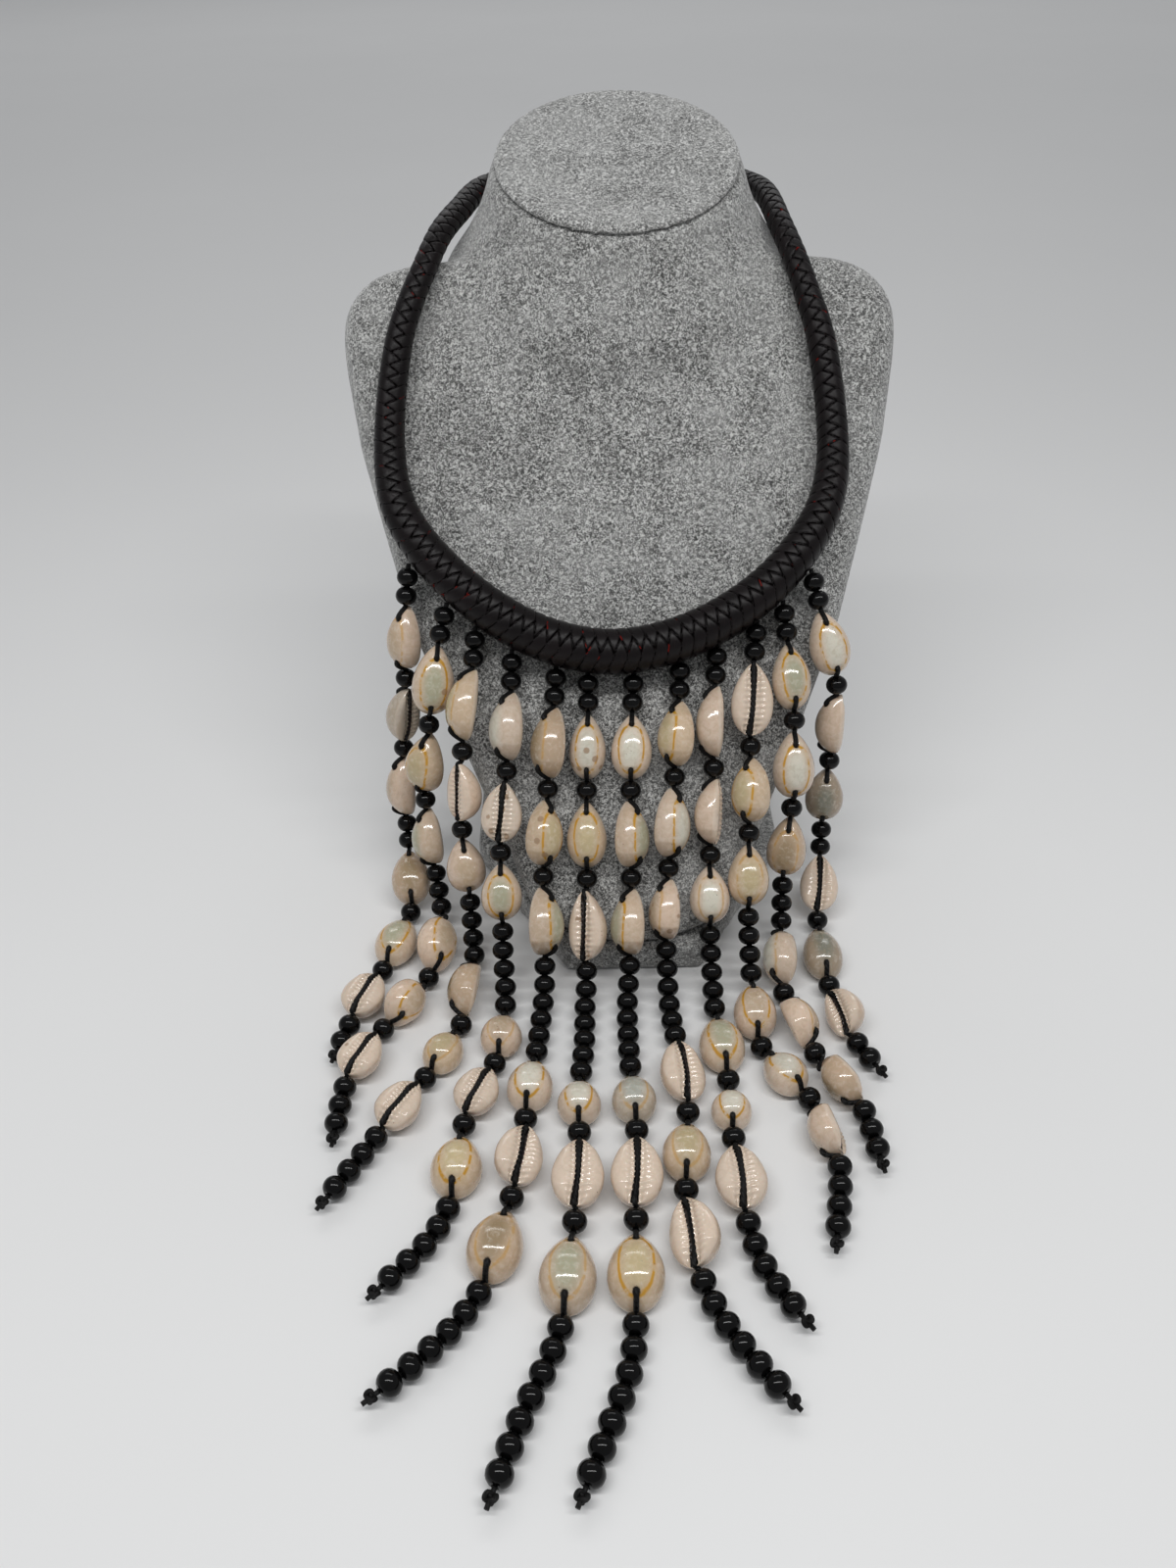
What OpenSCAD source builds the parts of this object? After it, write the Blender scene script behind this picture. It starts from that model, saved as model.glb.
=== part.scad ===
// Cowrie shell fringe necklace on a plain reclined neck bust.
// Millimetres. Z is up, X is to the right and the bust faces -Y.
// The origin is the centre of the underside of the bust's base.

/* [Bust] */
// Width of the chest panel over the shoulders
bust_w = 224; // [200:1:240]
// Length of the chest panel, measured up its slope
chest_len = 274; // [260:1:290]
// Angle of the chest panel above the table
chest_tilt = 51.2; // [50:0.2:53]
// Thickness of the chest panel
chest_t = 22; // [14:0.5:26]
// How far the chest panel falls back at the shoulders
chest_crown = 10.8; // [4:0.2:14]
// Rounding of the chest panel's front edge
chest_edge_r = 9; // [3:0.5:10]
// Y of the chest panel's lowest front edge
chest_foot_y = -113; // [-118:1:-108]
// Width of the plate on top of the neck
plate_w = 100.5; // [90:0.5:106]
// Depth of the plate on top of the neck
plate_d = 95; // [85:0.5:100]
// Forward lean of the plate
plate_lean = 21.7; // [15:0.1:28]
// Y of the plate's centre
plate_y = 81.5; // [76:0.5:86]
// Height of the plate's centre
plate_z = 251.5; // [246:0.5:260]
// Thickness of the plate's rim
cap_t = 2.4; // [1.5:0.1:4]
// How far the plate stands in from the neck's top edge
cap_inset = 1.2; // [0.5:0.1:3]
// Share of the plate's thickness under its bevel
cap_wall = 0.6; // [0.3:0.05:0.8]

/* [Base] */
// Thickness of the base
base_h = 12; // [8:0.5:14]
// Width of the base at its front edge
base_front_w = 54; // [44:1:64]
// Width of the base at the back
base_back_w = 130; // [100:1:150]
// Length of the base
base_len = 228; // [210:1:240]
// Length over which the base widens
base_flare_len = 66; // [50:1:80]
// Cut of the base's back corners
base_corner = 12; // [6:1:20]
// Width of the prop behind the chest
prop_w = 56; // [40:1:70]
// Height of the prop
prop_h = 108; // [90:1:109]
// Depth of the prop at its top
prop_top_d = 24; // [16:1:36]
// Gap between the prop and the chest panel
prop_gap = 0.2; // [0.1:0.1:0.5]
// How far the prop's foot stands in from the back of the base
prop_foot_in = 20; // [14:1:30]
// Height of the prop at its foot
prop_foot_h = 6; // [4:0.5:10]

/* [Collar] */
// Diameter of the collar at the bottom of its loop
collar_d = 17.5; // [14:0.5:18]
// Diameter of the collar behind the neck
collar_back_d = 9; // [7:0.5:10]
// Length of the sleeve that closes the collar
clasp_len = 20; // [14:1:24]
// Diameter of the sleeve that closes the collar
clasp_d = 11; // [10:0.5:14]
// Gap between the collar's end and the sleeve
clasp_gap = 0.2; // [0.1:0.1:0.5]

/* [Beads] */
// Diameter of a round bead
bead_d = 8; // [7:0.1:8.2]
// Length of a bead along the thread
bead_len = 6.9; // [6:0.1:7.3]
// Diameter of the bore of beads and shells
bore_d = 2.4; // [2:0.1:3]
// Diameter of the thread
thread_d = 1.6; // [1.2:0.1:1.9]
// Diameter of the knot that ends a strand
knot_d = 4.8; // [3:0.1:6]
// Length of the knot
knot_len = 5; // [3:0.5:7]
// Bare thread between the collar and the first bead
lead_len = 1.6; // [0:0.1:3]
// Free space between neighbouring beads
string_gap = 0.32; // [0.25:0.01:0.5]
// Free space at the ends of a shell
shell_gap = 1; // [0.8:0.05:1.3]

/* [Shells] */
// Length of a shell of size 1
shell_len = 27; // [24:0.5:28]
// Width of a shell of size 1
shell_w = 16.5; // [14:0.1:18]
// Height of the back of a shell over its axis, for a width of 1
shell_back = 0.49; // [0.4:0.01:0.56]
// Depth of the toothed base under the axis
shell_base_h = 3.8; // [3:0.1:5]
// Width of the slit in the base
slit_w = 1.6; // [1:0.1:2.4]
// Depth of the slit
slit_h = 2; // [0.5:0.1:2.2]
// Most that a shell's body stands off its thread
shell_sink = 2.6; // [0:0.1:3]

/* [Hidden] */
$fn = 48;
TUBE_SIDES = 10;
THREAD_SIDES = 5;
SMOOTH_STEPS = 5;
COLLAR_STEPS = 2;
rest_gap = 0.1;

// Columns: share of the chest's length, share of its half width
CHEST_ROWS = [
    [0.000, 0.040],
    [0.007, 0.131],
    [0.026, 0.238],
    [0.056, 0.358],
    [0.086, 0.384],
    [0.144, 0.437],
    [0.293, 0.593],
    [0.461, 0.760],
    [0.621, 0.869],
    [0.738, 0.944],
    [0.856, 0.991],
    [0.890, 1.000],
    [0.920, 1.000],
    [0.945, 0.985],
    [0.967, 0.952],
    [0.984, 0.905],
    [0.994, 0.845],
    [1.000, 0.760]
];

// Share of the plate's size at the neck's top edge
NECK_TOP = 0.99;

// Columns: Y and height of the section's middle as steps from the plate's
// middle, half width and half depth as shares of the plate's, share of its lean
NECK_ROWS = [
    [-10, -118, 1.70, 1.02, -0.6],
    [-8, -98, 1.70, 1.10, -0.5],
    [-5, -80, 1.68, 1.16, -0.3],
    [-2, -62, 1.62, 1.16, -0.1],
    [-3, -46, 1.50, 1.08, 0.2],
    [-3, -34, 1.37, 1.03, 0.5],
    [-3, -26, 1.22, 0.99, 0.65],
    [-2, -18, 1.115, 0.98, 0.8],
    [-1, -9, 1.035, 0.98, 0.95],
    [0, 0, NECK_TOP, NECK_TOP, 1.0]
];

// Columns: X, Y, Z of the collar's middle, share of the way from the back's
// diameter to the bottom's
COLLAR_ROUTE = [
    [-12, 130.4, 236, 0.00],
    [-28, 126.5, 237, 0.00],
    [-44, 118, 238, 0.01],
    [-56.5, 105, 237, 0.02],
    [-63, 88, 234, 0.04],
    [-70, 69, 229.5, 0.06],
    [-76, 53, 220.5, 0.08],
    [-82.3, 41, 209, 0.13],
    [-87.2, 30, 195, 0.23],
    [-90.9, 11, 169, 0.34],
    [-86, -11, 148, 0.62],
    [-66, -29.5, 129, 0.82],
    [-38, -42.5, 113.5, 0.94],
    [-7, -48, 107.5, 1.00],
    [25, -44, 112.5, 0.94],
    [54, -32.5, 126, 0.82],
    [75, -13.5, 145, 0.62],
    [81.3, 7.5, 165, 0.38],
    [77.8, 30, 195, 0.25],
    [73.2, 41, 209, 0.15],
    [68.4, 53, 221.2, 0.07],
    [63.8, 70, 230.5, 0.05],
    [61, 89, 236, 0.03],
    [56, 105, 237, 0.02],
    [44, 118, 238, 0.01],
    [28, 126.5, 237, 0.00],
    [12, 130.4, 236, 0.00]
];

// Strand routes from the collar to the knot. Columns: X, Y, Z of the thread,
// and 1 where the strand lies on the chest or the table, 0 where it hangs free
STRAND_ROUTES = [
    [[-84, -22.8, 133.5, 0], [-87, -31, 112, 0], [-89, -36, 86, 0], [-92, -40, 62, 0],
     [-94, -42, 49, 0], [-94, -45, 36, 0], [-94, -50.5, 24, 0.1], [-93, -59, 14.5, 0.4],
     [-91, -70, 8.5, 0.8], [-91, -82, 5.5, 1], [-93, -95, 4, 1], [-96, -106, 4, 1], [-101, -121, 4, 1],
     [-107, -138, 4, 1], [-112, -155, 4, 1], [-116, -170, 4, 1]],
    [[-69.5, -32.7, 121.7, 0], [-74, -43, 107, 0], [-77, -50, 95, 0], [-79, -54, 78, 0],
     [-82, -57, 61, 0], [-83, -61, 47, 0], [-82, -65, 34, 0], [-81, -71, 22.5, 0.1],
     [-79, -80, 13.5, 0.4], [-77, -91, 7.5, 0.8], [-77, -103, 5, 1],
     [-79, -115, 4, 1], [-86, -129, 4, 1],
     [-94, -142, 4, 1], [-102, -157, 4, 1], [-106, -170, 4, 1], [-107, -190, 4, 1]],
    [[-59, -37.2, 113.4, 1], [-60, -47, 102, 1], [-63, -57, 90, 1], [-65, -69, 75, 0.6],
     [-66, -76, 58, 0], [-67, -81, 43, 0], [-66, -85.5, 31, 0], [-65, -92, 20.5, 0.1],
     [-64, -101, 12, 0.4], [-63, -111, 6.5, 0.8], [-63, -122, 4.5, 1], [-65, -133, 4, 1], [-67, -146, 4, 1],
     [-73, -158, 4, 1], [-82, -175, 4, 1], [-92, -191, 4, 1], [-105, -212, 4, 1]],
    [[-45, -42.8, 106.3, 1], [-46, -56, 90, 1], [-48, -73, 69, 1], [-51, -90, 47.5, 1],
     [-51, -100, 35, 1], [-51, -111, 21.5, 1], [-51, -118.5, 14, 1],
     [-50, -127, 8.5, 1], [-50, -137, 5, 1], [-50, -147, 4, 1], [-52, -159, 4, 1],
     [-57, -171, 4, 1], [-62, -184, 4, 1], [-63, -201, 4, 1], [-65, -217, 4, 1],
     [-71, -230, 4, 1], [-85, -245, 4, 1]],
    [[-28, -46.2, 101, 1], [-29, -55, 91, 1], [-31, -68, 75, 1], [-34, -89, 49, 1],
     [-35, -100, 35, 1], [-35, -111, 21.5, 1], [-35, -118.5, 14, 1],
     [-35, -127, 8.5, 1], [-36, -137, 5, 1], [-37, -147, 4, 1], [-38, -158, 4, 1],
     [-41, -171, 4, 1], [-41, -186, 4, 1], [-41, -200, 4, 1], [-45, -216, 4, 1],
     [-49, -234, 4, 1], [-54, -248, 4, 1], [-63, -260, 4, 1], [-74, -270, 4, 1],
     [-88, -281, 4, 1]],
    [[-16, -48, 99.1, 1], [-16, -57, 89, 1], [-17, -72, 70, 1], [-18, -88, 50, 1],
     [-18, -100, 35, 1], [-19, -111, 21.5, 1], [-19, -118.5, 14, 1],
     [-19, -127, 8.5, 1], [-20, -137, 5, 1], [-20, -147, 4, 1], [-21, -160, 4, 1],
     [-23, -179, 4, 1], [-22, -205, 4, 1], [-25, -230, 4, 1], [-28, -256, 4, 1],
     [-33, -270, 4, 1], [-39, -282, 4, 1], [-48, -306, 4, 1]],
    [[2, -48.3, 98.8, 1], [1, -57, 89, 1], [0, -72, 70, 1], [-1, -88, 50, 1],
     [-1, -100, 35, 1], [-2, -111, 21.5, 1], [-2, -118.5, 14, 1],
     [-3, -127, 8.5, 1], [-4, -137, 5, 1], [-4, -147, 4, 1], [-4, -160, 4, 1],
     [-3, -180, 4, 1], [-3, -205, 4, 1], [-5, -230, 4, 1], [-6, -256, 4, 1],
     [-8, -270, 4, 1], [-13, -283, 4, 1], [-24, -307, 4, 1]],
    [[20, -45.2, 102, 1], [19, -57, 89, 1], [17, -72, 70, 1], [15, -88, 50, 1],
     [13, -100, 35, 1], [12, -111, 21.5, 1], [12, -118.5, 14, 1],
     [12, -127, 8.5, 1], [12, -137, 5, 1], [13, -147, 4, 1], [14, -159, 4, 1],
     [16, -172, 4, 1], [15, -187, 4, 1], [13, -204, 4, 1], [12, -224, 4, 1],
     [14, -242, 4, 1], [19, -255, 4, 1], [28, -269, 4, 1], [40, -284, 4, 1]],
    [[34.5, -42.2, 106.5, 1], [33, -54, 92, 1], [32, -70, 72.5, 1], [31, -86, 52.5, 1],
     [29, -99, 36.5, 1], [29, -111, 21.5, 1], [29, -118.5, 14, 1],
     [29, -127, 8.5, 1], [29, -137, 5, 1], [29, -147, 4, 1], [30, -159, 4, 1],
     [31, -172, 4, 1], [30, -187, 4, 1], [30, -208, 4, 1], [31, -226, 4, 1],
     [34, -239, 4, 1], [39, -249, 4, 1], [48, -262, 4, 1]],
    [[50, -36.9, 113.3, 1], [48.5, -46, 102, 1], [46.5, -59, 86, 1], [46, -75, 66, 1],
     [45, -88, 50, 1], [44, -99, 36.5, 0.6], [44, -111, 21.5, 0.4],
     [44, -118.5, 14, 0.6], [44, -127, 8.5, 0.8], [43, -137, 5, 1],
     [43, -147, 4, 1], [45, -158, 4, 1], [51, -169, 4, 1], [59, -180, 4, 1],
     [64, -193, 4, 1], [64, -207, 4, 1], [61, -222, 4, 1], [56, -242, 4, 1]],
    [[60, -32.7, 119.4, 1], [61.5, -43, 107, 1], [63, -53, 96, 1], [63, -63, 85, 0.6],
     [63, -71, 73, 0.2], [63, -77, 56, 0], [62, -80, 42, 0], [61, -84, 30, 0],
     [60, -90.5, 19.5, 0.1], [59, -99.5, 11.5, 0.4], [58, -110, 6.5, 0.8],
     [57, -121, 4.5, 1], [56, -133, 4, 1],
     [57, -145, 4, 1], [62, -158, 4, 1], [70, -169, 4, 1], [76, -183, 4, 1],
     [78, -198, 4, 1], [79, -216, 4, 1]],
    [[71, -26, 129, 0], [74, -35, 118, 0], [78, -42, 106, 0], [82, -47, 88, 0],
     [83, -50, 69, 0], [81, -53, 50, 0], [80, -56, 38, 0], [80, -61, 27, 0],
     [79, -68.5, 17, 0.1], [78, -78, 10, 0.4], [76, -89, 6, 0.8],
     [74, -100, 4.5, 1], [73, -112, 4, 1],
     [74, -126, 4, 1], [75, -140, 4, 1], [78, -152, 4, 1], [84, -164, 4, 1],
     [92, -177, 4, 1]]
];

// Six shells for each strand, from the top, each with its narrow end up.
// Columns: length and width as shares of a shell of size 1, and turn about the
// thread, with 0 for the back of the shell outwards and more to the right
SHELL_ROWS = [
    [[0.95, 0.90, -20], [0.87, 0.94, -90], [0.98, 0.96, -60],
     [0.94, 0.98, 0], [0.91, 1.00, 0], [0.75, 1.00, 180]],
    [[1.05, 1.00, 30], [0.93, 1.00, 0], [0.88, 0.94, -70],
     [0.98, 1.00, 40], [0.78, 0.92, 60], [0.74, 0.96, 180]],
    [[1.03, 0.94, -60], [0.88, 0.94, 140], [0.83, 0.94, 0],
     [0.92, 0.96, -70], [0.69, 0.88, 0], [0.75, 0.94, 180]],
    [[0.98, 0.94, -50], [0.86, 0.96, 180], [0.83, 0.96, 0],
     [0.69, 0.94, 0], [0.72, 0.96, 180], [0.86, 1.06, 0]],
    [[1.02, 0.96, -50], [0.95, 0.92, 45], [0.98, 0.96, 60],
     [0.81, 1.00, 0], [0.83, 1.00, -160], [0.92, 1.08, 0]],
    [[0.95, 0.86, 0], [0.96, 0.94, 0], [1.02, 0.92, 150],
     [0.68, 0.94, 0], [0.93, 1.06, 180], [0.95, 1.10, 0]],
    [[0.95, 0.96, 0], [0.95, 0.92, 50], [0.95, 0.94, -60],
     [0.73, 0.96, 0], [0.93, 1.06, 180], [0.94, 1.10, 0]],
    [[0.94, 0.94, -45], [1.00, 0.94, 50], [0.87, 0.86, -60],
     [0.95, 1.00, -160], [0.82, 1.00, 0], [0.87, 1.02, 150]],
    [[1.02, 0.90, -90], [0.94, 0.86, -100], [0.84, 0.94, 0],
     [0.90, 1.02, 0], [0.62, 0.86, 0], [0.86, 1.04, 180]],
    [[1.05, 0.98, 180], [0.93, 0.96, -40], [0.90, 0.96, 0],
     [0.88, 0.98, 0], [0.71, 0.92, 0], [0.75, 0.92, -110]],
    [[0.97, 0.90, 0], [1.00, 0.98, 0], [0.93, 0.94, 0],
     [0.92, 0.94, -60], [0.82, 0.92, 60], [0.76, 0.92, -100]],
    [[0.98, 0.94, -25], [0.95, 0.92, -90], [0.84, 0.94, 0],
     [0.93, 0.94, 180], [0.96, 0.94, 0], [0.76, 0.92, 130]]
];

// Beads in the middle run and in the tail of each strand
RUN_BEADS = [2, 3, 4, 5, 6, 7, 7, 6, 5, 4, 3, 2];
// Strands whose short tail of beads is a plain tube
TUBE_TAILS = [1, 12];

// Chest panel

chest_across = [0, cos(chest_tilt), sin(chest_tilt)];
chest_out = [0, -sin(chest_tilt), cos(chest_tilt)];
chest_foot = [0, chest_foot_y, base_h];
ROW_STEPS = 16;
back_r = 3;
// Most of a row's half width that its rounded edges take, in front and behind
EDGE_SHARE = 0.9;
BACK_SHARE = 0.5;

function chest_point(s, x, n) = chest_foot + s * chest_across + n * chest_out + [x, 0, 0];

function edge_fall(x, w, r) =
    let (q = max(0, (abs(x) - w + r) / r)) r * (1 - sqrt(max(0, 1 - q * q)));

function chest_row(row) =
    let (
        s = row[0] * chest_len,
        w = row[1] * bust_w / 2,
        crown = row[0] * chest_crown,
        r = min(chest_edge_r, w * EDGE_SHARE),
        b = min(back_r, w * BACK_SHARE)
    )
    concat(
        [for (i = [0:ROW_STEPS])
            let (x = w * cos(180 * i / ROW_STEPS), q = x / w)
            chest_point(s, x, -crown * q * q - edge_fall(x, w, r))],
        [
            chest_point(s, -w, -chest_t + b - crown),
            chest_point(s, b - w, -chest_t - crown),
            chest_point(s, w - b, -chest_t - crown),
            chest_point(s, w, -chest_t + b - crown)
        ]
    );

// Skin of quads between rings of equal length, closed by flat ends
function skin_faces(rings, sides) = concat(
    [[for (j = [sides - 1:-1:0]) j]],
    [for (i = [0:rings - 2], j = [0:sides - 1])
        let (a = i * sides + j, b = i * sides + (j + 1) % sides)
        each [[a, b + sides, a + sides], [a, b, b + sides]]],
    [[for (j = [0:sides - 1]) (rings - 1) * sides + j]]
);

// Skin whose last ring meets its first, such as a drilled solid's
function loop_faces(rings, sides) =
    [for (i = [0:rings - 1], j = [0:sides - 1])
        let (
            next = (i + 1) % rings,
            a = i * sides + j,
            b = i * sides + (j + 1) % sides,
            c = next * sides + j,
            d = next * sides + (j + 1) % sides
        )
        each [[a, d, c], [a, b, d]]];

function flat_list(rings) = [for (ring = rings) each ring];

module skin(rings) {
    polyhedron(flat_list(rings), skin_faces(len(rings), len(rings[0])));
}

module chest_panel() {
    skin([for (row = CHEST_ROWS) chest_row(row)]);
}

// Neck

NECK_SIDES = 32;

function lean_point(y, z, lean, dx, dd, up = 0) = [
    dx,
    y + dd * cos(lean) - up * sin(lean),
    z + dd * sin(lean) + up * cos(lean)
];

function ellipse_ring(y, z, lean, a, b, up = 0, sides = NECK_SIDES) =
    [for (i = [0:sides - 1])
        let (t = -360 * i / sides)
        lean_point(y, z, lean, a * cos(t), b * sin(t), up)];

module neck() {
    skin([for (row = NECK_ROWS)
        ellipse_ring(plate_y + row[0], plate_z + row[1], row[4] * plate_lean,
            row[2] * plate_w / 2, row[3] * plate_d / 2)]);
}

module below_base_top() {
    translate([-bust_w, -bust_w, -bust_w]) cube([2 * bust_w, 2 * bust_w, bust_w + base_h]);
}

module bust_form() {
    color([0.66, 0.66, 0.66])
    difference() {
        union() {
            chest_panel();
            neck();
        }
        below_base_top();
    }
}

module bust_cap() {
    inner_a = NECK_TOP * plate_w / 2 - cap_inset;
    inner_b = NECK_TOP * plate_d / 2 - cap_inset;
    color([0.7, 0.7, 0.7])
    skin([
        ellipse_ring(plate_y, plate_z, plate_lean, inner_a, inner_b),
        ellipse_ring(plate_y, plate_z, plate_lean, inner_a, inner_b, cap_t * cap_wall),
        ellipse_ring(plate_y, plate_z, plate_lean, inner_a - cap_t, inner_b - cap_t, cap_t)
    ]);
}

module bust_base() {
    front = chest_foot_y;
    corner = base_corner;
    color([0.62, 0.62, 0.62])
    linear_extrude(base_h)
    polygon([
        [-base_front_w / 2, front],
        [base_front_w / 2, front],
        [base_back_w / 2, front + base_flare_len],
        [base_back_w / 2, front + base_len - corner],
        [base_back_w / 2 - corner, front + base_len],
        [corner - base_back_w / 2, front + base_len],
        [-base_back_w / 2, front + base_len - corner],
        [-base_back_w / 2, front + base_flare_len]
    ]);
}

// Y of the chest panel's flat back at a height, with the prop's gap
function chest_back_y(z) =
    let (
        low = chest_point(0, 0, -chest_t - prop_gap),
        high = chest_point(chest_len, 0, -chest_t - chest_crown - prop_gap)
    )
    low[1] + (z - low[2]) / (high[2] - low[2]) * (high[1] - low[1]);

module bust_prop() {
    top = base_h + prop_h;
    foot_y = chest_foot_y + base_len - prop_foot_in;
    color([0.6, 0.6, 0.6])
    translate([-prop_w / 2, 0, 0])
    rotate([90, 0, 90])
    linear_extrude(prop_w)
    polygon([
        [chest_back_y(base_h), base_h],
        [foot_y, base_h],
        [foot_y, base_h + prop_foot_h],
        [chest_back_y(top) + prop_top_d, top],
        [chest_back_y(top), top]
    ]);
}

// Smooth curves through chosen points

function spline_point(a, b, c, d, t) =
    0.5 * (2 * b + t * (c - a) + t * t * (2 * a - 5 * b + 4 * c - d)
        + t * t * t * (3 * b - a - 3 * c + d));

function smooth(points, steps) =
    let (last = len(points) - 1)
    concat(
        [for (i = [0:last - 1], j = [0:steps - 1])
            spline_point(points[max(i - 1, 0)], points[i], points[i + 1],
                points[min(i + 2, last)], j / steps)],
        [points[last]]
    );

function xyz(p) = [p[0], p[1], p[2]];
function unit(v) = v / norm(v);

// Rise of a way, as a share of its length, from which it counts as upright
UPRIGHT = 0.9;

// Ring of a swept tube
function tube_ring(centre, along, r, sides) =
    let (
        side = unit(cross(along, abs(along[2]) > UPRIGHT ? [0, 1, 0] : [0, 0, 1])),
        up = cross(side, along)
    )
    [for (j = [0:sides - 1])
        let (t = 360 * j / sides)
        centre + r * cos(t) * side + r * sin(t) * up];

// Collar

collar_rise = collar_d - collar_back_d;
collar_path = smooth(COLLAR_ROUTE, COLLAR_STEPS);

module collar() {
    last = len(collar_path) - 1;
    middle = [for (p = collar_path) xyz(p)];
    end_l = [-clasp_len / 2 - clasp_gap, middle[0][1], middle[0][2]];
    end_r = [clasp_len / 2 + clasp_gap, middle[last][1], middle[last][2]];
    rings = concat(
        [tube_ring(end_l, [-1, 0, 0], collar_back_d / 2, TUBE_SIDES)],
        [for (i = [1:last - 1])
            tube_ring(middle[i], unit(middle[i + 1] - middle[i - 1]),
                (collar_back_d + collar_path[i][3] * collar_rise) / 2, TUBE_SIDES)],
        [tube_ring(end_r, [-1, 0, 0], collar_back_d / 2, TUBE_SIDES)]
    );
    color([0.12, 0.09, 0.09]) skin(rings);
}

module clasp() {
    back = xyz(COLLAR_ROUTE[0]);
    color([0.1, 0.1, 0.1])
    translate([-clasp_len / 2, back[1], back[2]])
    rotate([0, 90, 0])
    cylinder(h = clasp_len, d = clasp_d);
}

// Strands

BEAD = 0;
SHELL = 1;
TAIL = 2;
// Share of the knot's length where it is thickest
KNOT_PEAK = 0.3;
bead_pitch = bead_len + string_gap;

function shell_row(k, i) = SHELL_ROWS[k - 1][i];
function has_tube_tail(k) = len([for (t = TUBE_TAILS) if (t == k) t]) > 0;

// Items of a strand from the top: kind and number of its shell
function strand_items(k) =
    let (
        n = RUN_BEADS[k - 1],
        run = [for (i = [1:n]) [BEAD, 0]],
        tail = [for (i = [1:n]) [has_tube_tail(k) ? TAIL : BEAD, 0]],
        bead = [BEAD, 0]
    )
    concat([bead, bead], [[SHELL, 0], bead, [SHELL, 1], bead, [SHELL, 2]], run,
        [[SHELL, 3], bead, [SHELL, 4], bead, [SHELL, 5]], tail);

function item_len(k, item) =
    item[0] == SHELL ? shell_row(k, item[1])[0] * shell_len + shell_gap : bead_pitch;

function sums(list, from = 0) =
    [for (i = 0, s = from; i <= len(list); s = s + (i < len(list) ? list[i] : 0), i = i + 1) s];

// Place at a length along a path whose running lengths are known
function at_length(path, run, s, i = 0) =
    i >= len(path) - 2 || s < run[i + 1]
        ? path[i] + (s - run[i]) / (run[i + 1] - run[i]) * (path[i + 1] - path[i])
        : at_length(path, run, s, i + 1);

// Outline of a shell across its thread, from the middle of its back. Columns:
// share of the half width, share of the back's height, share of the base's
// depth, share of the slit's half width, share of the slit's depth
SHELL_OUTLINE = [
    [0.00, 1.00, 0, 0, 0],
    [0.64, 0.80, 0, 0, 0],
    [1.00, 0.12, 0, 0, 0],
    [0.80, 0.00, -1, 0, 0],
    [0.00, 0.00, -1, 1, 0],
    [0.00, 0.00, -1, 0, 1]
];

// Sections of a shell from its narrow end to its broad end. Columns: share of
// the length, of the width and the back's height, of the base's depth, of the
// slit, and of the body's step off the thread
SHELL_SECTIONS = [
    [0.00, 0.28, 0.66, 0.15, 0.0],
    [0.17, 0.71, 0.92, 0.80, 0.8],
    [0.56, 1.00, 1.00, 1.00, 1.0],
    [0.87, 0.80, 0.95, 0.80, 0.8],
    [1.00, 0.34, 0.70, 0.15, 0.0]
];
SHELL_SIDES = 2 * (len(SHELL_OUTLINE) - 1);

// Point of a shell's outline; the second half mirrors the first
function outline_point(j, row, a, back) =
    let (
        right = j < len(SHELL_OUTLINE),
        o = SHELL_OUTLINE[right ? j : SHELL_SIDES - j],
        x = o[0] * row[1] * a + o[3] * slit_w / 2 * row[3],
        y = o[1] * row[1] * back + o[2] * row[2] * shell_base_h + o[4] * slit_h * row[3]
    )
    [right ? x : -x, y];

function turned(p, turn) =
    [p[0] * cos(turn) + p[1] * sin(turn), p[1] * cos(turn) - p[0] * sin(turn)];

// Lowest point of a shell's widest section under its axis, for a turn
function shell_support(turn, a) =
    -min([for (j = [0:SHELL_SIDES - 1])
        turned(outline_point(j, SHELL_SECTIONS[2], a, 2 * a * shell_back), turn)[1]]);

// How far a shell's body stands off its thread, and its thread off the rest
function shell_a(k, i) = shell_row(k, i)[1] * shell_w / 2;
function shell_hold(k, i) = shell_support(shell_row(k, i)[2], shell_a(k, i));
function body_shift(k, i) =
    min(shell_sink, max(shell_hold(k, i) - bead_d / 2, 0));
function item_rise(k, item) =
    item[0] == SHELL
        ? max(shell_hold(k, item[1]) - body_shift(k, item[1]) - bead_d / 2, 0) + rest_gap
        : rest_gap;

// Level part of a way under which it counts as plumb
PLUMB = 0.05;
// Length over which a path's direction is measured
AHEAD = 1;

// Thread's way out from what it lies on
function out_of(along) =
    let (up = [0, 0, 1] - along[2] * along)
    norm(up) < PLUMB ? [0, -1, 0] : unit(up);

// Joints between a strand's items, each with its own rise
function strand_joints(k) =
    let (
        items = strand_items(k),
        path = smooth(STRAND_ROUTES[k - 1], SMOOTH_STEPS),
        steps = [for (i = [0:len(path) - 2]) norm(xyz(path[i + 1]) - xyz(path[i]))],
        run = sums(steps),
        marks = sums([for (item = items) item_len(k, item)], lead_len),
        rises = [for (item = items) item_rise(k, item)],
        count = len(items)
    )
    [for (i = [0:count])
        let (
            q = at_length(path, run, marks[i]),
            p = [q[0], q[1], max(q[2], bead_d / 2), q[3]],
            ahead = at_length(path, run, marks[i] + AHEAD),
            near = max([for (j = [i - 1, i]) rises[min(max(j, 0), count - 1)]]),
            next = max([for (j = [i - 2, i + 1]) rises[min(max(j, 0), count - 1)]]),
            lift = i == 0 || i == count ? 0 : max(near, next / 2)
        )
        concat(xyz(p) + p[3] * lift * out_of(unit(xyz(ahead) - xyz(p))), p[3])];

// Share of an item's lift that it takes where it lies
function laid_share(joints, i) = (joints[i][3] + joints[i + 1][3]) / 2;

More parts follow.
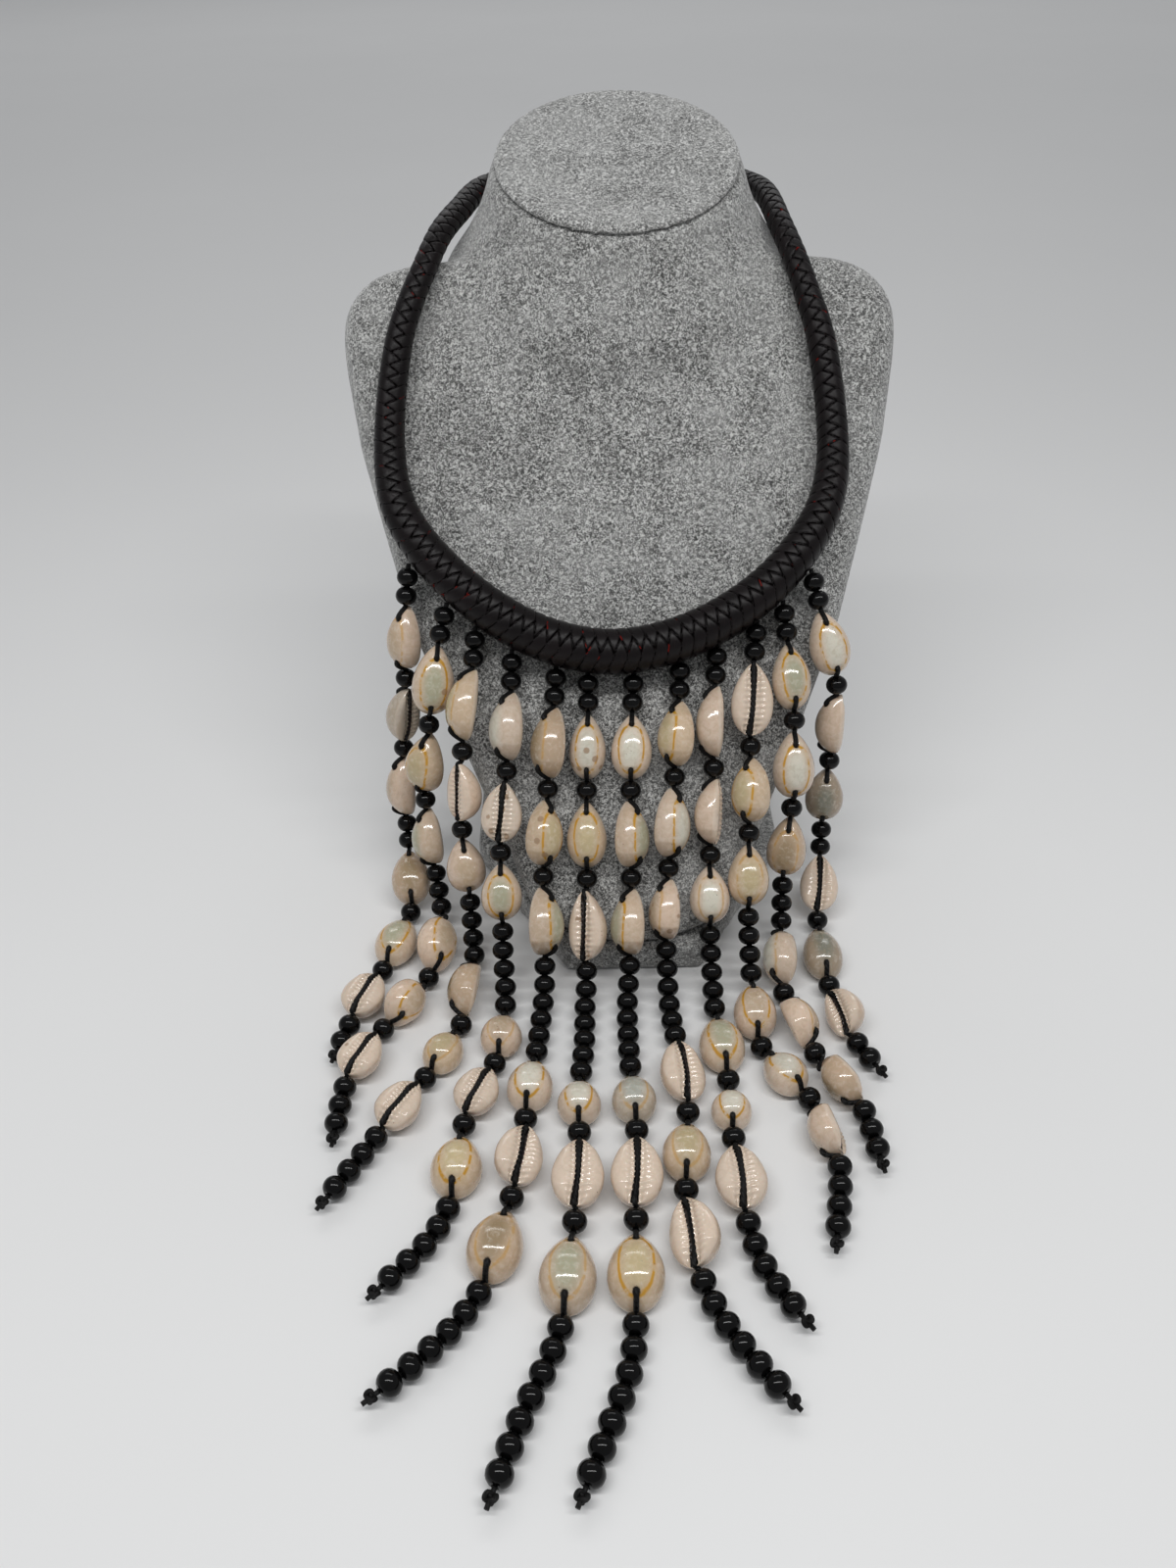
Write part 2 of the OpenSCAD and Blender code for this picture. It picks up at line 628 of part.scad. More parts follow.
// Frame of an item between two joints: X to the side, Y out, Z along
function item_frame(a, b) =
    let (
        along = unit(xyz(b) - xyz(a)),
        out = out_of(along),
        side = cross(out, along),
        m = (a + b) / 2
    )
    [
        [side[0], out[0], along[0], m[0]],
        [side[1], out[1], along[1], m[1]],
        [side[2], out[2], along[2], m[2]],
        [0, 0, 0, 1]
    ];

// Round bead with slightly flattened ends
module bead() {
    end_r = bead_len / 2;
    rotate_extrude()
    intersection() {
        translate([bead_d / 2 - end_r, 0]) circle(r = end_r);
        translate([bore_d / 2, -bead_len]) square([bead_d, 2 * bead_len]);
    }
}

// A drilled shell along Z, its outline turned by its roll
module shell_solid(length, a, turn, shift) {
    outer = [for (row = SHELL_SECTIONS)
        [for (j = [0:SHELL_SIDES - 1])
            let (p = turned(outline_point(j, row, a, 2 * a * shell_back), turn))
            [p[0], p[1] + row[4] * shift, (row[0] - 0.5) * length]]];
    bore = [for (z = [length / 2, -length / 2])
        [for (j = [0:SHELL_SIDES - 1])
            let (p = turned([sin(360 * j / SHELL_SIDES), cos(360 * j / SHELL_SIDES)], turn))
            [p[0] * bore_d / 2, p[1] * bore_d / 2, z]]];
    rings = concat(outer, bore);
    polyhedron(flat_list(rings), loop_faces(len(rings), SHELL_SIDES));
}

module strand_shells(k) {
    items = strand_items(k);
    joints = strand_joints(k);
    color([0.93, 0.84, 0.75])
    for (i = [0:len(items) - 1])
        if (items[i][0] == SHELL) {
            n = items[i][1];
            row = shell_row(k, n);
            multmatrix(item_frame(joints[i], joints[i + 1]))
            shell_solid(norm(xyz(joints[i + 1]) - xyz(joints[i])) - shell_gap,
                shell_a(k, n), row[2], laid_share(joints, i) * body_shift(k, n));
        }
}

module strand_beads(k) {
    items = strand_items(k);
    joints = strand_joints(k);
    color([0.08, 0.08, 0.08])
    for (i = [0:len(items) - 1])
        if (items[i][0] == BEAD)
            multmatrix(item_frame(joints[i], joints[i + 1])) bead();
}

module strand_thread(k) {
    items = strand_items(k);
    joints = [for (p = strand_joints(k)) xyz(p)];
    n = len(joints);
    route = STRAND_ROUTES[k - 1];
    last_way = unit(joints[n - 1] - joints[n - 2]);
    points = concat(
        [xyz(route[0])],
        joints,
        [joints[n - 1] + KNOT_PEAK * knot_len * last_way, joints[n - 1] + knot_len * last_way]
    );
    count = len(points);
    radii = [for (i = [0:count - 1])
        i == count - 2 ? knot_d / 2
            : i == count - 1 ? thread_d / 2
            : i >= 2 && items[i - 2][0] == TAIL ? bead_d / 2 : thread_d / 2];
    rings = [for (i = [0:count - 1])
        tube_ring(points[i],
            unit(points[min(i + 1, count - 1)] - points[max(i - 1, 0)]),
            radii[i], THREAD_SIDES)];
    color([0.05, 0.05, 0.05]) skin(rings);
}

bust_form();
bust_cap();
bust_base();
bust_prop();
collar();
clasp();
strand_shells(1);  // strand_1_shells
strand_shells(2);  // strand_2_shells
strand_shells(3);  // strand_3_shells
strand_shells(4);  // strand_4_shells
strand_shells(5);  // strand_5_shells
strand_shells(6);  // strand_6_shells
strand_shells(7);  // strand_7_shells
strand_shells(8);  // strand_8_shells
strand_shells(9);  // strand_9_shells
strand_shells(10);  // strand_10_shells
strand_shells(11);  // strand_11_shells
strand_shells(12);  // strand_12_shells
strand_beads(1);  // strand_1_beads
strand_beads(2);  // strand_2_beads
strand_beads(3);  // strand_3_beads
strand_beads(4);  // strand_4_beads
strand_beads(5);  // strand_5_beads
strand_beads(6);  // strand_6_beads
strand_beads(7);  // strand_7_beads
strand_beads(8);  // strand_8_beads
strand_beads(9);  // strand_9_beads
strand_beads(10);  // strand_10_beads
strand_beads(11);  // strand_11_beads
strand_beads(12);  // strand_12_beads
strand_thread(1);  // strand_1_thread
strand_thread(2);  // strand_2_thread
strand_thread(3);  // strand_3_thread
strand_thread(4);  // strand_4_thread
strand_thread(5);  // strand_5_thread
strand_thread(6);  // strand_6_thread
strand_thread(7);  // strand_7_thread
strand_thread(8);  // strand_8_thread
strand_thread(9);  // strand_9_thread
strand_thread(10);  // strand_10_thread
strand_thread(11);  // strand_11_thread
strand_thread(12);  // strand_12_thread
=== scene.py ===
"""Looks of the cowrie shell necklace on its velvet neck bust.

Metres, in the part's frame: Z is up, X to the right, the bust faces -Y, and the origin is under the bust's base.
"""
import math

import bpy
import bmesh
import numpy as np
from mathutils import Matrix, Vector


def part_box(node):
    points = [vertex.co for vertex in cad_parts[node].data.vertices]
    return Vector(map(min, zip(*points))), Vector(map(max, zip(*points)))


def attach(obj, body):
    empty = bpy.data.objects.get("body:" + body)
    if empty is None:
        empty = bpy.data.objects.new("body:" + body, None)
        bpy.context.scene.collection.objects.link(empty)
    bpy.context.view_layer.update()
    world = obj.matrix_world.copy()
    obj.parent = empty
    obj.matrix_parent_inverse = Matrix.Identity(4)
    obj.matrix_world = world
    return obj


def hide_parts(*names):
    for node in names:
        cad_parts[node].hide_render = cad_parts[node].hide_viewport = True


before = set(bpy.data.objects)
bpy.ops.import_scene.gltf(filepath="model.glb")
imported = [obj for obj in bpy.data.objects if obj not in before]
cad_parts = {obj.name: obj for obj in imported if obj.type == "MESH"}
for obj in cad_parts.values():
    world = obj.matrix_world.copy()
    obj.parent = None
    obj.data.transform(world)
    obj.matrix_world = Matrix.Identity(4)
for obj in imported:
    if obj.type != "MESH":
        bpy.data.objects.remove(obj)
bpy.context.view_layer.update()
MM = 0.001


# Camera, at the photograph's angle

CAMERA_PLACE = (-0.0168, -0.430, 0.350)
CAMERA_TILT = 51.2
CAMERA_ROLL = -1.3
CAMERA_LENS = 27.0
CAMERA_SENSOR = 36.0
CAMERA_NEAR = 0.01


def add_camera():
    data = bpy.data.cameras.new("camera")
    data.lens = CAMERA_LENS
    data.sensor_width = CAMERA_SENSOR
    data.sensor_fit = "AUTO"
    data.clip_start = CAMERA_NEAR
    camera = bpy.data.objects.new("camera", data)
    turn = Matrix.Rotation(math.radians(CAMERA_TILT), 4, "X")
    roll = Matrix.Rotation(math.radians(CAMERA_ROLL), 4, "Z")
    camera.matrix_world = Matrix.Translation(CAMERA_PLACE) @ turn @ roll
    bpy.context.scene.collection.objects.link(camera)
    bpy.context.scene.camera = camera


# Mesh helpers

# Way that the chest of the bust faces, from which the turns about a thread or the collar are counted
FACING = np.array((0.0, -0.78, 0.63))


def unit(v):
    return v / max(np.linalg.norm(v), 1e-12)


def closed_skin(rings):
    """Points, quads and end fans of a skin through rings of equal length, with a point at each end."""
    count, sides = rings.shape[:2]
    i = np.arange(count - 1)[:, None] * sides
    j = np.arange(sides)[None, :]
    k = (j + 1) % sides
    quads = np.stack([i + j, i + k, i + sides + k, i + sides + j], -1).reshape(-1, 4)
    first = count * sides
    last = first + 1
    end = (count - 1) * sides
    fans = [(first, b, a) for a, b in zip(j[0], k[0])]
    fans += [(last, end + a, end + b) for a, b in zip(j[0], k[0])]
    points = np.concatenate([rings.reshape(-1, 3), rings[0].mean(0)[None], rings[-1].mean(0)[None]])
    return points, quads.tolist() + fans


def ring_skin(rings):
    """Points and quads of a skin whose last ring meets its first."""
    count, sides = rings.shape[:2]
    i = np.arange(count)[:, None]
    j = np.arange(sides)[None, :]
    n = (i + 1) % count
    k = (j + 1) % sides
    quads = np.stack([i * sides + j, i * sides + k, n * sides + k, n * sides + j], -1)
    return rings.reshape(-1, 3), quads.reshape(-1, 4).tolist()


class Gather:
    """Many small solids collected into one mesh, with a value of each attribute for every point."""

    def __init__(self, *names):
        self.points = []
        self.faces = []
        self.count = 0
        self.extra = {name: [] for name in names}

    def add(self, points, faces, **extra):
        start = self.count
        self.points.append(points)
        self.faces.extend([tuple(start + v for v in face) for face in faces])
        for name, values in extra.items():
            values = np.asarray(values, float)
            if values.ndim == 1:
                values = np.tile(values, (len(points), 1))
            self.extra[name].append(values)
        self.count += len(points)

    def build(self, name, material):
        """The piece of all that was added, which is in millimetres until then."""
        points = np.concatenate(self.points) * MM
        extra = {k: np.concatenate(v) for k, v in self.extra.items()}
        return mesh_piece(name, points, self.faces, material, extra)


def mesh_piece(name, points, faces, material, extra=None):
    """A smooth piece on the root body, with a vector attribute for each of the extra values."""
    mesh = bpy.data.meshes.new(name)
    mesh.from_pydata(points.tolist(), [], faces)
    mesh.update()
    work = bmesh.new()
    work.from_mesh(mesh)
    bmesh.ops.recalc_face_normals(work, faces=work.faces)
    work.to_mesh(mesh)
    work.free()
    for key, values in (extra or {}).items():
        layer = mesh.attributes.new(key, "FLOAT_VECTOR", "POINT")
        layer.data.foreach_set("vector", np.asarray(values, np.float32).ravel())
    mesh.polygons.foreach_set("use_smooth", [True] * len(mesh.polygons))
    mesh.materials.append(material)
    piece = bpy.data.objects.new(name, mesh)
    bpy.context.scene.collection.objects.link(piece)
    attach(piece, "root")
    return piece


def node_points(name):
    """Points of a CAD node in millimetres, and its faces, with doubled points joined."""
    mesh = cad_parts[name].data
    raw = np.array([v.co for v in mesh.vertices]) / MM
    points, index = np.unique(np.round(raw, 3), axis=0, return_inverse=True)
    index = index.reshape(-1)
    faces = [[index[v] for v in face.vertices] for face in mesh.polygons]
    return points, faces


def loose_solids(name):
    """Points of each loose solid of a CAD node."""
    points, faces = node_points(name)
    owner = list(range(len(points)))

    def root(i):
        while owner[i] != i:
            owner[i] = owner[owner[i]]
            i = owner[i]
        return i

    for face in faces:
        a = root(face[0])
        for v in face[1:]:
            owner[root(v)] = a
    groups = {}
    for i in range(len(points)):
        groups.setdefault(root(i), []).append(i)
    return [points[g] for g in groups.values()]


def smooth_path(points, steps):
    """Points on a smooth curve through the given ones."""
    points = np.asarray(points, float)
    padded = np.concatenate([points[:1], points, points[-1:]])
    t = np.linspace(0, 1, steps, endpoint=False)[:, None]
    out = []
    for i in range(len(points) - 1):
        a, b, c, d = padded[i:i + 4]
        out.append(0.5 * (2 * b + t * (c - a) + t ** 2 * (2 * a - 5 * b + 4 * c - d)
                          + t ** 3 * (3 * b - a - 3 * c + d)))
    out.append(points[-1:])
    return np.concatenate(out)


def running_length(path):
    """Length along a path from its start to each of its points."""
    return np.concatenate([[0], np.cumsum(np.linalg.norm(np.diff(path, axis=0), axis=1))])


def ways_across(path):
    """Two ways across a path at each point, which turn about it as little as they can."""
    along = np.gradient(path, axis=0)
    along /= np.maximum(np.linalg.norm(along, axis=1), 1e-9)[:, None]
    first = np.zeros_like(path)
    way = FACING
    for i, t in enumerate(along):
        way = way - way.dot(t) * t
        if np.linalg.norm(way) < 1e-6:
            way = np.array([1.0, 0.0, 0.0]) - t[0] * t
        way = unit(way)
        first[i] = way
    return first, np.cross(along, first)


def tube(path, radius, sides):
    """Rings of a round tube along a path."""
    a, b = ways_across(path)
    t = np.arange(sides) * 2 * math.pi / sides
    round_about = a[:, None] * np.cos(t)[None, :, None] + b[:, None] * np.sin(t)[None, :, None]
    return path[:, None] + radius * round_about


# Material helpers

class Nodes:
    """A material's node tree, with short calls for the nodes that it uses."""

    def __init__(self, name):
        self.material = bpy.data.materials.new(name)
        self.material.use_nodes = True
        self.tree = self.material.node_tree
        self.shader = self.tree.nodes["Principled BSDF"]

    def node(self, kind, **settings):
        node = self.tree.nodes.new(kind)
        for key, value in settings.items():
            setattr(node, key, value)
        return node

    def link(self, source, target):
        self.tree.links.new(source, target)

    def put(self, socket, value):
        if isinstance(value, bpy.types.NodeSocket):
            self.link(value, socket)
        else:
            socket.default_value = value

    def math(self, operation, a, b=0.0, clamp=False):
        node = self.node("ShaderNodeMath", operation=operation, use_clamp=clamp)
        self.put(node.inputs[0], a)
        self.put(node.inputs[1], b)
        return node.outputs[0]

    def plus(self, a, b, clamp=False):
        return self.math("ADD", a, b, clamp)

    def minus(self, a, b):
        return self.math("SUBTRACT", a, b)

    def times(self, a, b):
        return self.math("MULTIPLY", a, b)

    def absolute(self, value):
        return self.math("ABSOLUTE", value)

    def vector(self, operation, a, b):
        node = self.node("ShaderNodeVectorMath", operation=operation)
        self.put(node.inputs[0], a)
        self.put(node.inputs[1], b)
        return node.outputs["Vector"]

    def mix(self, factor, a, b):
        """Colour a where the factor is 0 and colour b where it is 1."""
        node = self.node("ShaderNodeMix", data_type="RGBA")
        self.put(node.inputs["Factor"], factor)
        for socket, value in ((node.inputs[6], a), (node.inputs[7], b)):
            if not isinstance(value, bpy.types.NodeSocket):
                value = (*value, 1.0)
            self.put(socket, value)
        return node.outputs[2]

    def attribute(self, name):
        return self.node("ShaderNodeAttribute", attribute_name=name).outputs["Vector"]

    def split(self, vector):
        node = self.node("ShaderNodeSeparateXYZ")
        self.put(node.inputs[0], vector)
        return node.outputs

    def noise(self, vector, scale, detail=2.0, rough=0.5, distortion=0.0, colour=False):
        node = self.node("ShaderNodeTexNoise")
        self.put(node.inputs["Vector"], vector)
        node.inputs["Scale"].default_value = scale
        node.inputs["Detail"].default_value = detail
        node.inputs["Roughness"].default_value = rough
        node.inputs["Distortion"].default_value = distortion
        return node.outputs["Color" if colour else 0]

    def ramp(self, factor, *stops):
        node = self.node("ShaderNodeValToRGB")
        self.put(node.inputs[0], factor)
        marks = node.color_ramp.elements
        while len(marks) < len(stops):
            marks.new(0.5)
        for mark, (place, colour) in zip(marks, stops):
            mark.position = place
            mark.color = (*colour, 1.0)
        return node.outputs[0]

    def step(self, value, low, high):
        """0 at low, 1 at high and smooth between. Low may be the larger of the two."""
        node = self.node("ShaderNodeMapRange", interpolation_type="SMOOTHSTEP", clamp=True)
        self.put(node.inputs["Value"], value)
        node.inputs["From Min"].default_value = low
        node.inputs["From Max"].default_value = high
        return node.outputs[0]

    def bump(self, height, distance, strength=1.0, under=None):
        node = self.node("ShaderNodeBump")
        node.inputs["Strength"].default_value = strength
        node.inputs["Distance"].default_value = distance
        self.put(node.inputs["Height"], height)
        if under is not None:
            self.link(under, node.inputs["Normal"])
        return node.outputs[0]

    def set(self, **values):
        """Settings of the surface's shader."""
        for key, value in values.items():
            self.put(self.shader.inputs[key.replace("_", " ")], value)

    def place(self):
        return self.node("ShaderNodeTexCoord").outputs["Object"]


# Strands, read from the CAD threads. All lengths are in millimetres

# Beads of each strand's middle run, which are as many as those of its last run
RUN_BEADS = (2, 3, 4, 5, 6, 7, 7, 6, 5, 4, 3, 2)
# Corners of a ring of the CAD thread, and a reach that joins the corners of one ring but not two rings
RING_SIDES = 5
RING_REACH = 5.5
# Level part of a way under which it counts as plumb
PLUMB = 0.05
BEAD_LEN = 7.15
BEAD_D = 8.3
BEAD_SIDES = 22
BORE_D = 2.4
BORE_ROUNDING = 0.35
THREAD_D = 1.9
THREAD_SIDES = 8
# Steps of a smooth thread from one stop to the next
THREAD_STEPS = 4
# Depth of a shell's base under its middle, and height of its back as a share of its half width
SHELL_BASE = 3.8
SHELL_BACK = 0.98


def strand_kinds(k):
    """Items of a strand from the top: b for a bead and S for a shell."""
    n = RUN_BEADS[k - 1]
    return "bb" + "SbSbS" + n * "b" + "SbSbS" + n * "b"


def joined_groups(points, reach):
    """Groups of points, each of them nearer than the reach to another of its group."""
    group = -np.ones(len(points), int)
    groups = []
    for seed in range(len(points)):
        if group[seed] >= 0:
            continue
        reached = [seed]
        group[seed] = len(groups)
        while reached:
            near = np.linalg.norm(points - points[reached.pop()], axis=1) < reach
            for j in np.nonzero(near & (group < 0))[0]:
                group[j] = len(groups)
                reached.append(j)
        groups.append(points[group == len(groups)])
    return groups


def thread_joints(k):
    """Joints between a strand's items, from the collar, and the first and last point of its thread."""
    rest = joined_groups(node_points(f"strand_{k}_thread")[0], RING_REACH)
    # The two rings of the short lead out of the collar are one group, and the three of the knot another
    start = next(i for i, ring in enumerate(rest) if len(ring) == 2 * RING_SIDES)
    rings = [rest.pop(start)]
    while rest:
        here = rings[-1].mean(0)
        nearest = min(range(len(rest)), key=lambda i: np.linalg.norm(rest[i].mean(0) - here))
        rings.append(rest.pop(nearest))
    way = unit(rings[1].mean(0) - rings[0].mean(0))
    lead = rings[0][np.argsort(rings[0] @ way)]
    way = unit(rings[-1].mean(0) - rings[-2].mean(0))
    knot = rings[-1][np.argsort(rings[-1] @ way)]
    joints = [lead[RING_SIDES:].mean(0)]
    joints += [ring.mean(0) for ring in rings[1:-1]]
    joints.append(knot[:RING_SIDES].mean(0))
    return np.array(joints), lead[:RING_SIDES].mean(0), knot[-RING_SIDES:].mean(0)


def item_frame(a, b):
    """Side, out and along ways of an item between two joints, as columns, and its middle."""
    along = unit(b - a)
    out = np.array([0.0, 0.0, 1.0]) - along[2] * along
    out = np.array([0.0, -1.0, 0.0]) if np.linalg.norm(out) < PLUMB else unit(out)
    return np.stack([np.cross(out, along), out, along], 1), (a + b) / 2


def turned(points, turn):
    """Points turned about the thread: 0 is the shell's back outwards, and more is to the right."""
    c, s = math.cos(math.radians(turn)), math.sin(math.radians(turn))
    x, y = points[..., 0], points[..., 1]
    return np.stack([x * c + y * s, y * c - x * s, points[..., 2]], -1)


# Six shells of each strand from the top: turn about the thread, and a code for its colours:
# a letter for the back's tone, then how strong its gold ring is, then * for brown spots, and c or h for a
# thread that fills the slit or the upper half of it
SHELLS = (
    ((-20, "p1"), (-90, "s0"), (-60, "p0"), (0, "b0"), (0, "g2"), (180, "p0c")),
    ((30, "g2*"), (0, "y2"), (-70, "g0"), (40, "p2"), (60, "p2"), (180, "p0*c")),
    ((-60, "y1"), (140, "p0"), (0, "p0"), (-70, "b0"), (0, "y1"), (180, "p0c")),
    ((-50, "w0"), (180, "w0*h"), (0, "g2"), (0, "p1*"), (180, "p0c"), (0, "y2")),
    ((-50, "b1"), (45, "y2*"), (60, "g2"), (0, "w2"), (-160, "p0"), (0, "b1")),
    ((0, "w2*"), (0, "y2"), (150, "p0*"), (0, "w2"), (180, "p0h"), (0, "g1")),
    ((0, "w2"), (50, "g2"), (-60, "g2"), (0, "s1"), (180, "p0h"), (0, "y2")),
    ((-45, "y2"), (50, "w2"), (-60, "p1*"), (-160, "p0"), (0, "y1"), (150, "p0")),
    ((-90, "p0"), (-100, "p0"), (0, "w1"), (0, "g2"), (0, "w2"), (180, "p0c")),
    ((180, "p0c"), (-40, "y2"), (0, "y1"), (0, "p2"), (0, "w2"), (-110, "p0")),
    ((0, "g2"), (0, "w2"), (0, "b1"), (-60, "w1"), (60, "p1"), (-100, "b0")),
    ((-25, "w2"), (-90, "p0"), (0, "d0"), (180, "p0"), (0, "d0"), (130, "p0")),
)


# How fast a shell's body steps off the thread from its ends
BODY_STEP_RISE = 1.5


class Shell:
    """A shell's place, measured from its CAD solid."""

    def __init__(self, a, b, solids, turn, cord):
        self.frame, self.middle = item_frame(a, b)
        self.turn = turn
        self.cord = cord
        best = min(solids, key=lambda s: np.linalg.norm(s.mean(0) - self.middle))
        local = (best - self.middle) @ self.frame
        self.length = np.ptp(local[:, 2])
        flat = turned(local, -turn)
        self.a = np.ptp(flat[:, 0]) / 2
        self.step = np.array([(flat[:, 0].max() + flat[:, 0].min()) / 2, flat[:, 1].min() + SHELL_BASE, 0.0])

    def to_part(self, local):
        """From the shell's own frame, with its place along the shell, to the part's frame."""
        share = local[:, 2:] / self.length + 0.5
        body = local + self.step * np.clip(np.sin(math.pi * share) * BODY_STEP_RISE, 0, 1)
        return self.middle + turned(body, self.turn) @ self.frame.T


# A cowrie: rows from its narrow end to its broad end, columns from the slit round the side to the back.
# Places along it are shares of its length

SHELL_ROWS = 80
# Where the shell is widest, where its back is highest and where its base is deepest
WIDEST = 0.57
HIGHEST = 0.56
DEEPEST = 0.5
# Height of both tips off the thread
POLE = -0.45 * SHELL_BASE
# Share of the height at which a side turns from the base to the back
SIDE_SHARE = 0.33
# Powers of the outline across the base and over the back: 2 is a circle, more is squarer
BASE_POWER = 2.25
BACK_POWER = 2.15
# Columns from the lip to the side, as shares of the way, and the number of columns over the back
BASE_STEPS = (0.0, 0.10, 0.22, 0.36, 0.52, 0.68, 0.82, 0.92, 0.975)
BACK_STEPS = 9
# Half width of the slit at the narrow end, how much it closes towards the middle and opens again, its depth, and
# the columns of its wall as shares of its half width and of the way up
SLIT_HALF = 1.35
SLIT_CLOSING = 0.35
SLIT_OPENING = 0.3
SLIT_DEPTH = 3.0
SLIT_WALL = ((0.0, 0.0), (0.9, 0.04), (1.0, 0.55))
SLIT_COLUMNS = (0, 1, 2, -1, -2)
# Width of a lip, and half widths of the shell under which the slit, the lips and the hollow get smaller
LIP = 0.5
SLIT_TAPER = 2.5
LIP_TAPER = 3
VALLEY_TAPER = 5
# Teeth, and the hollow that both lips slope into
TEETH = 13
TOOTH_POWER = 1.4
TOOTH_HEIGHT = 0.6
TOOTH_MEAN = 0.45
VALLEY = 1.5
VALLEY_REACH = 0.55
# Each lip: its side, how far its teeth reach over the base, how they fan out, and how they bite into the slit
LIPS = ((1, 0.30, 0.6, 1.0), (-1, 0.70, 1.32, 0.68))
# Drilled holes in the back
HOLES = (0.17, 0.86)
HOLE_RADIUS = 1.25
HOLE_DEPTH = 1.1


def ease(x, low, high):
    """0 below low, 1 above high and smooth between."""
    x = np.clip((x - low) / (high - low), 0, 1)
    return x * x * (3 - 2 * x)


def half_dome(t, peak, narrow, broad, power_narrow, power_broad):
    """1 at the peak and 0 at both ends."""
    u = np.where(t < peak, (peak - t) / peak, (t - peak) / (1 - peak))
    shape = np.where(t < peak, narrow, broad)
    power = np.where(t < peak, power_narrow, power_broad)
    return np.maximum(1 - u ** shape, 0) ** power


def half_width(t, a):
    return a * half_dome(t, WIDEST, 1.8, 2.3, 0.80, 0.52)


def back_height(t, a, hump=0.0):
    """Height of the back off the thread. The hump moves its highest place."""
    return POLE + (SHELL_BACK * a - POLE) * half_dome(t, HIGHEST + 0.02 * hump, 2.0, 2.3, 0.72, 0.58)


def base_height(t):
    """Height of the base off the thread, which is below 0."""
    return POLE - (SHELL_BASE + POLE) * half_dome(t, DEEPEST, 3.4, 3.4, 0.55, 0.55)


def slit_line(t, a):
    """Side step of the slit."""
    return 0.02 * a + 0.07 * a * ease(t, 0.6, 1.0) - 0.04 * a * np.sin(math.pi * t)


def shell_half(t, a, high, low, side, lip_facts):
    """Columns of one half of a shell, from the middle of its slit to the middle of its back."""
    sign, reach, fan, bite = lip_facts
    width = half_width(t, a)
    slit_x = slit_line(t, a) * sign
    slit_w = SLIT_HALF - SLIT_CLOSING * ease(t, 0.1, 0.5) + SLIT_OPENING * ease(t, 0.7, 0.95)
    slit_w = slit_w * np.minimum(1, width / SLIT_TAPER)
    floor = low + np.minimum(SLIT_DEPTH, 0.6 * (high - low))
    valley = VALLEY * np.minimum(1, width / VALLEY_TAPER)
    tooth_fade = ease(t, 0.03, 0.12) * (1 - ease(t, 0.9, 0.97))
    phase = 2 * math.pi * TEETH * t
    columns = [(slit_x + x * slit_w, floor + y * (low - floor)) for x, y in SLIT_WALL]

    lip_in = slit_x + slit_w
    lip = LIP * np.minimum(1, width / LIP_TAPER)
    tooth = (0.5 + 0.5 * np.cos(phase)) ** TOOTH_POWER * tooth_fade
    columns.append((lip_in + (0.35 - bite * tooth) * lip, low + valley + 0.2 * lip - 0.35 * tooth))

    lip_out = lip_in + 1.5 * lip
    for share in BASE_STEPS:
        x = lip_out + (width - lip_out) * share
        q = np.clip(x / width, 0, 0.9999)
        y = side - (side - low) * (1 - q ** BASE_POWER) ** (1 / BASE_POWER)
        wave = (0.5 + 0.5 * np.cos(phase + fan * share)) ** TOOTH_POWER
        tall = TOOTH_HEIGHT * tooth_fade * (1 - ease(share, 0.10, reach))
        y = y - tall * (wave - TOOTH_MEAN) + valley * max(1 - share / VALLEY_REACH, 0) ** 2
        columns.append((x, y))
    for angle in np.linspace(0, math.pi / 2, BACK_STEPS):
        x = width * math.cos(angle) ** (2 / BASE_POWER)
        y = side + (high - side) * math.sin(angle) ** (2 / BACK_POWER)
        columns.append((x, y))
    return sign * np.concatenate([x for x, y in columns], 1), np.concatenate([y for x, y in columns], 1)


def cowrie(length, a, seed):
    """Points of a shell, its faces, the place of each point as shares, and 1 for each point in its slit."""
    skew, hump, lean = np.random.RandomState(seed).uniform(-1, 1, 3)
    spread = 0.5 - 0.5 * np.cos(math.pi * np.linspace(0.02, 0.98, SHELL_ROWS))
    t = (0.55 * spread + 0.45 * np.linspace(0.002, 0.998, SHELL_ROWS))[:, None]
    high = back_height(t, a, hump)
    low = base_height(t)
    side = low + (SIDE_SHARE + 0.04 * lean) * (high - low)
    (right_x, right_y), (left_x, left_y) = [shell_half(t, a, high, low, side, lip) for lip in LIPS]
    x = np.concatenate([right_x, left_x[:, -2:0:-1]], 1)
    y = np.concatenate([right_y, left_y[:, -2:0:-1]], 1)
    up = np.clip((y - low) / np.maximum(high - low, 1e-6), 0, 1)
    x = x + 0.05 * skew * up ** 2 * a * (high - POLE) / (SHELL_BACK * a - POLE)
    z = (t - 0.5) * length + 0 * x
    for place in HOLES:
        from_hole = np.hypot(x, z - (place - 0.5) * length) / HOLE_RADIUS
        y = y - HOLE_DEPTH * (up > 0.6) * (1 - ease(from_hole, 0.5, 1.15))
    points, faces = closed_skin(np.stack([x, y, z], -1))
    shares = [points[:, 0] / a, (points[:, 1] - POLE) / (SHELL_BACK * a - POLE), points[:, 2] / length + 0.5]
    in_slit = np.zeros(x.shape)
    in_slit[:, SLIT_COLUMNS] = 1
    in_slit = np.append(in_slit.ravel(), [1, 1])
    return points, faces, np.stack(shares, 1), np.stack([in_slit, in_slit, in_slit], 1)


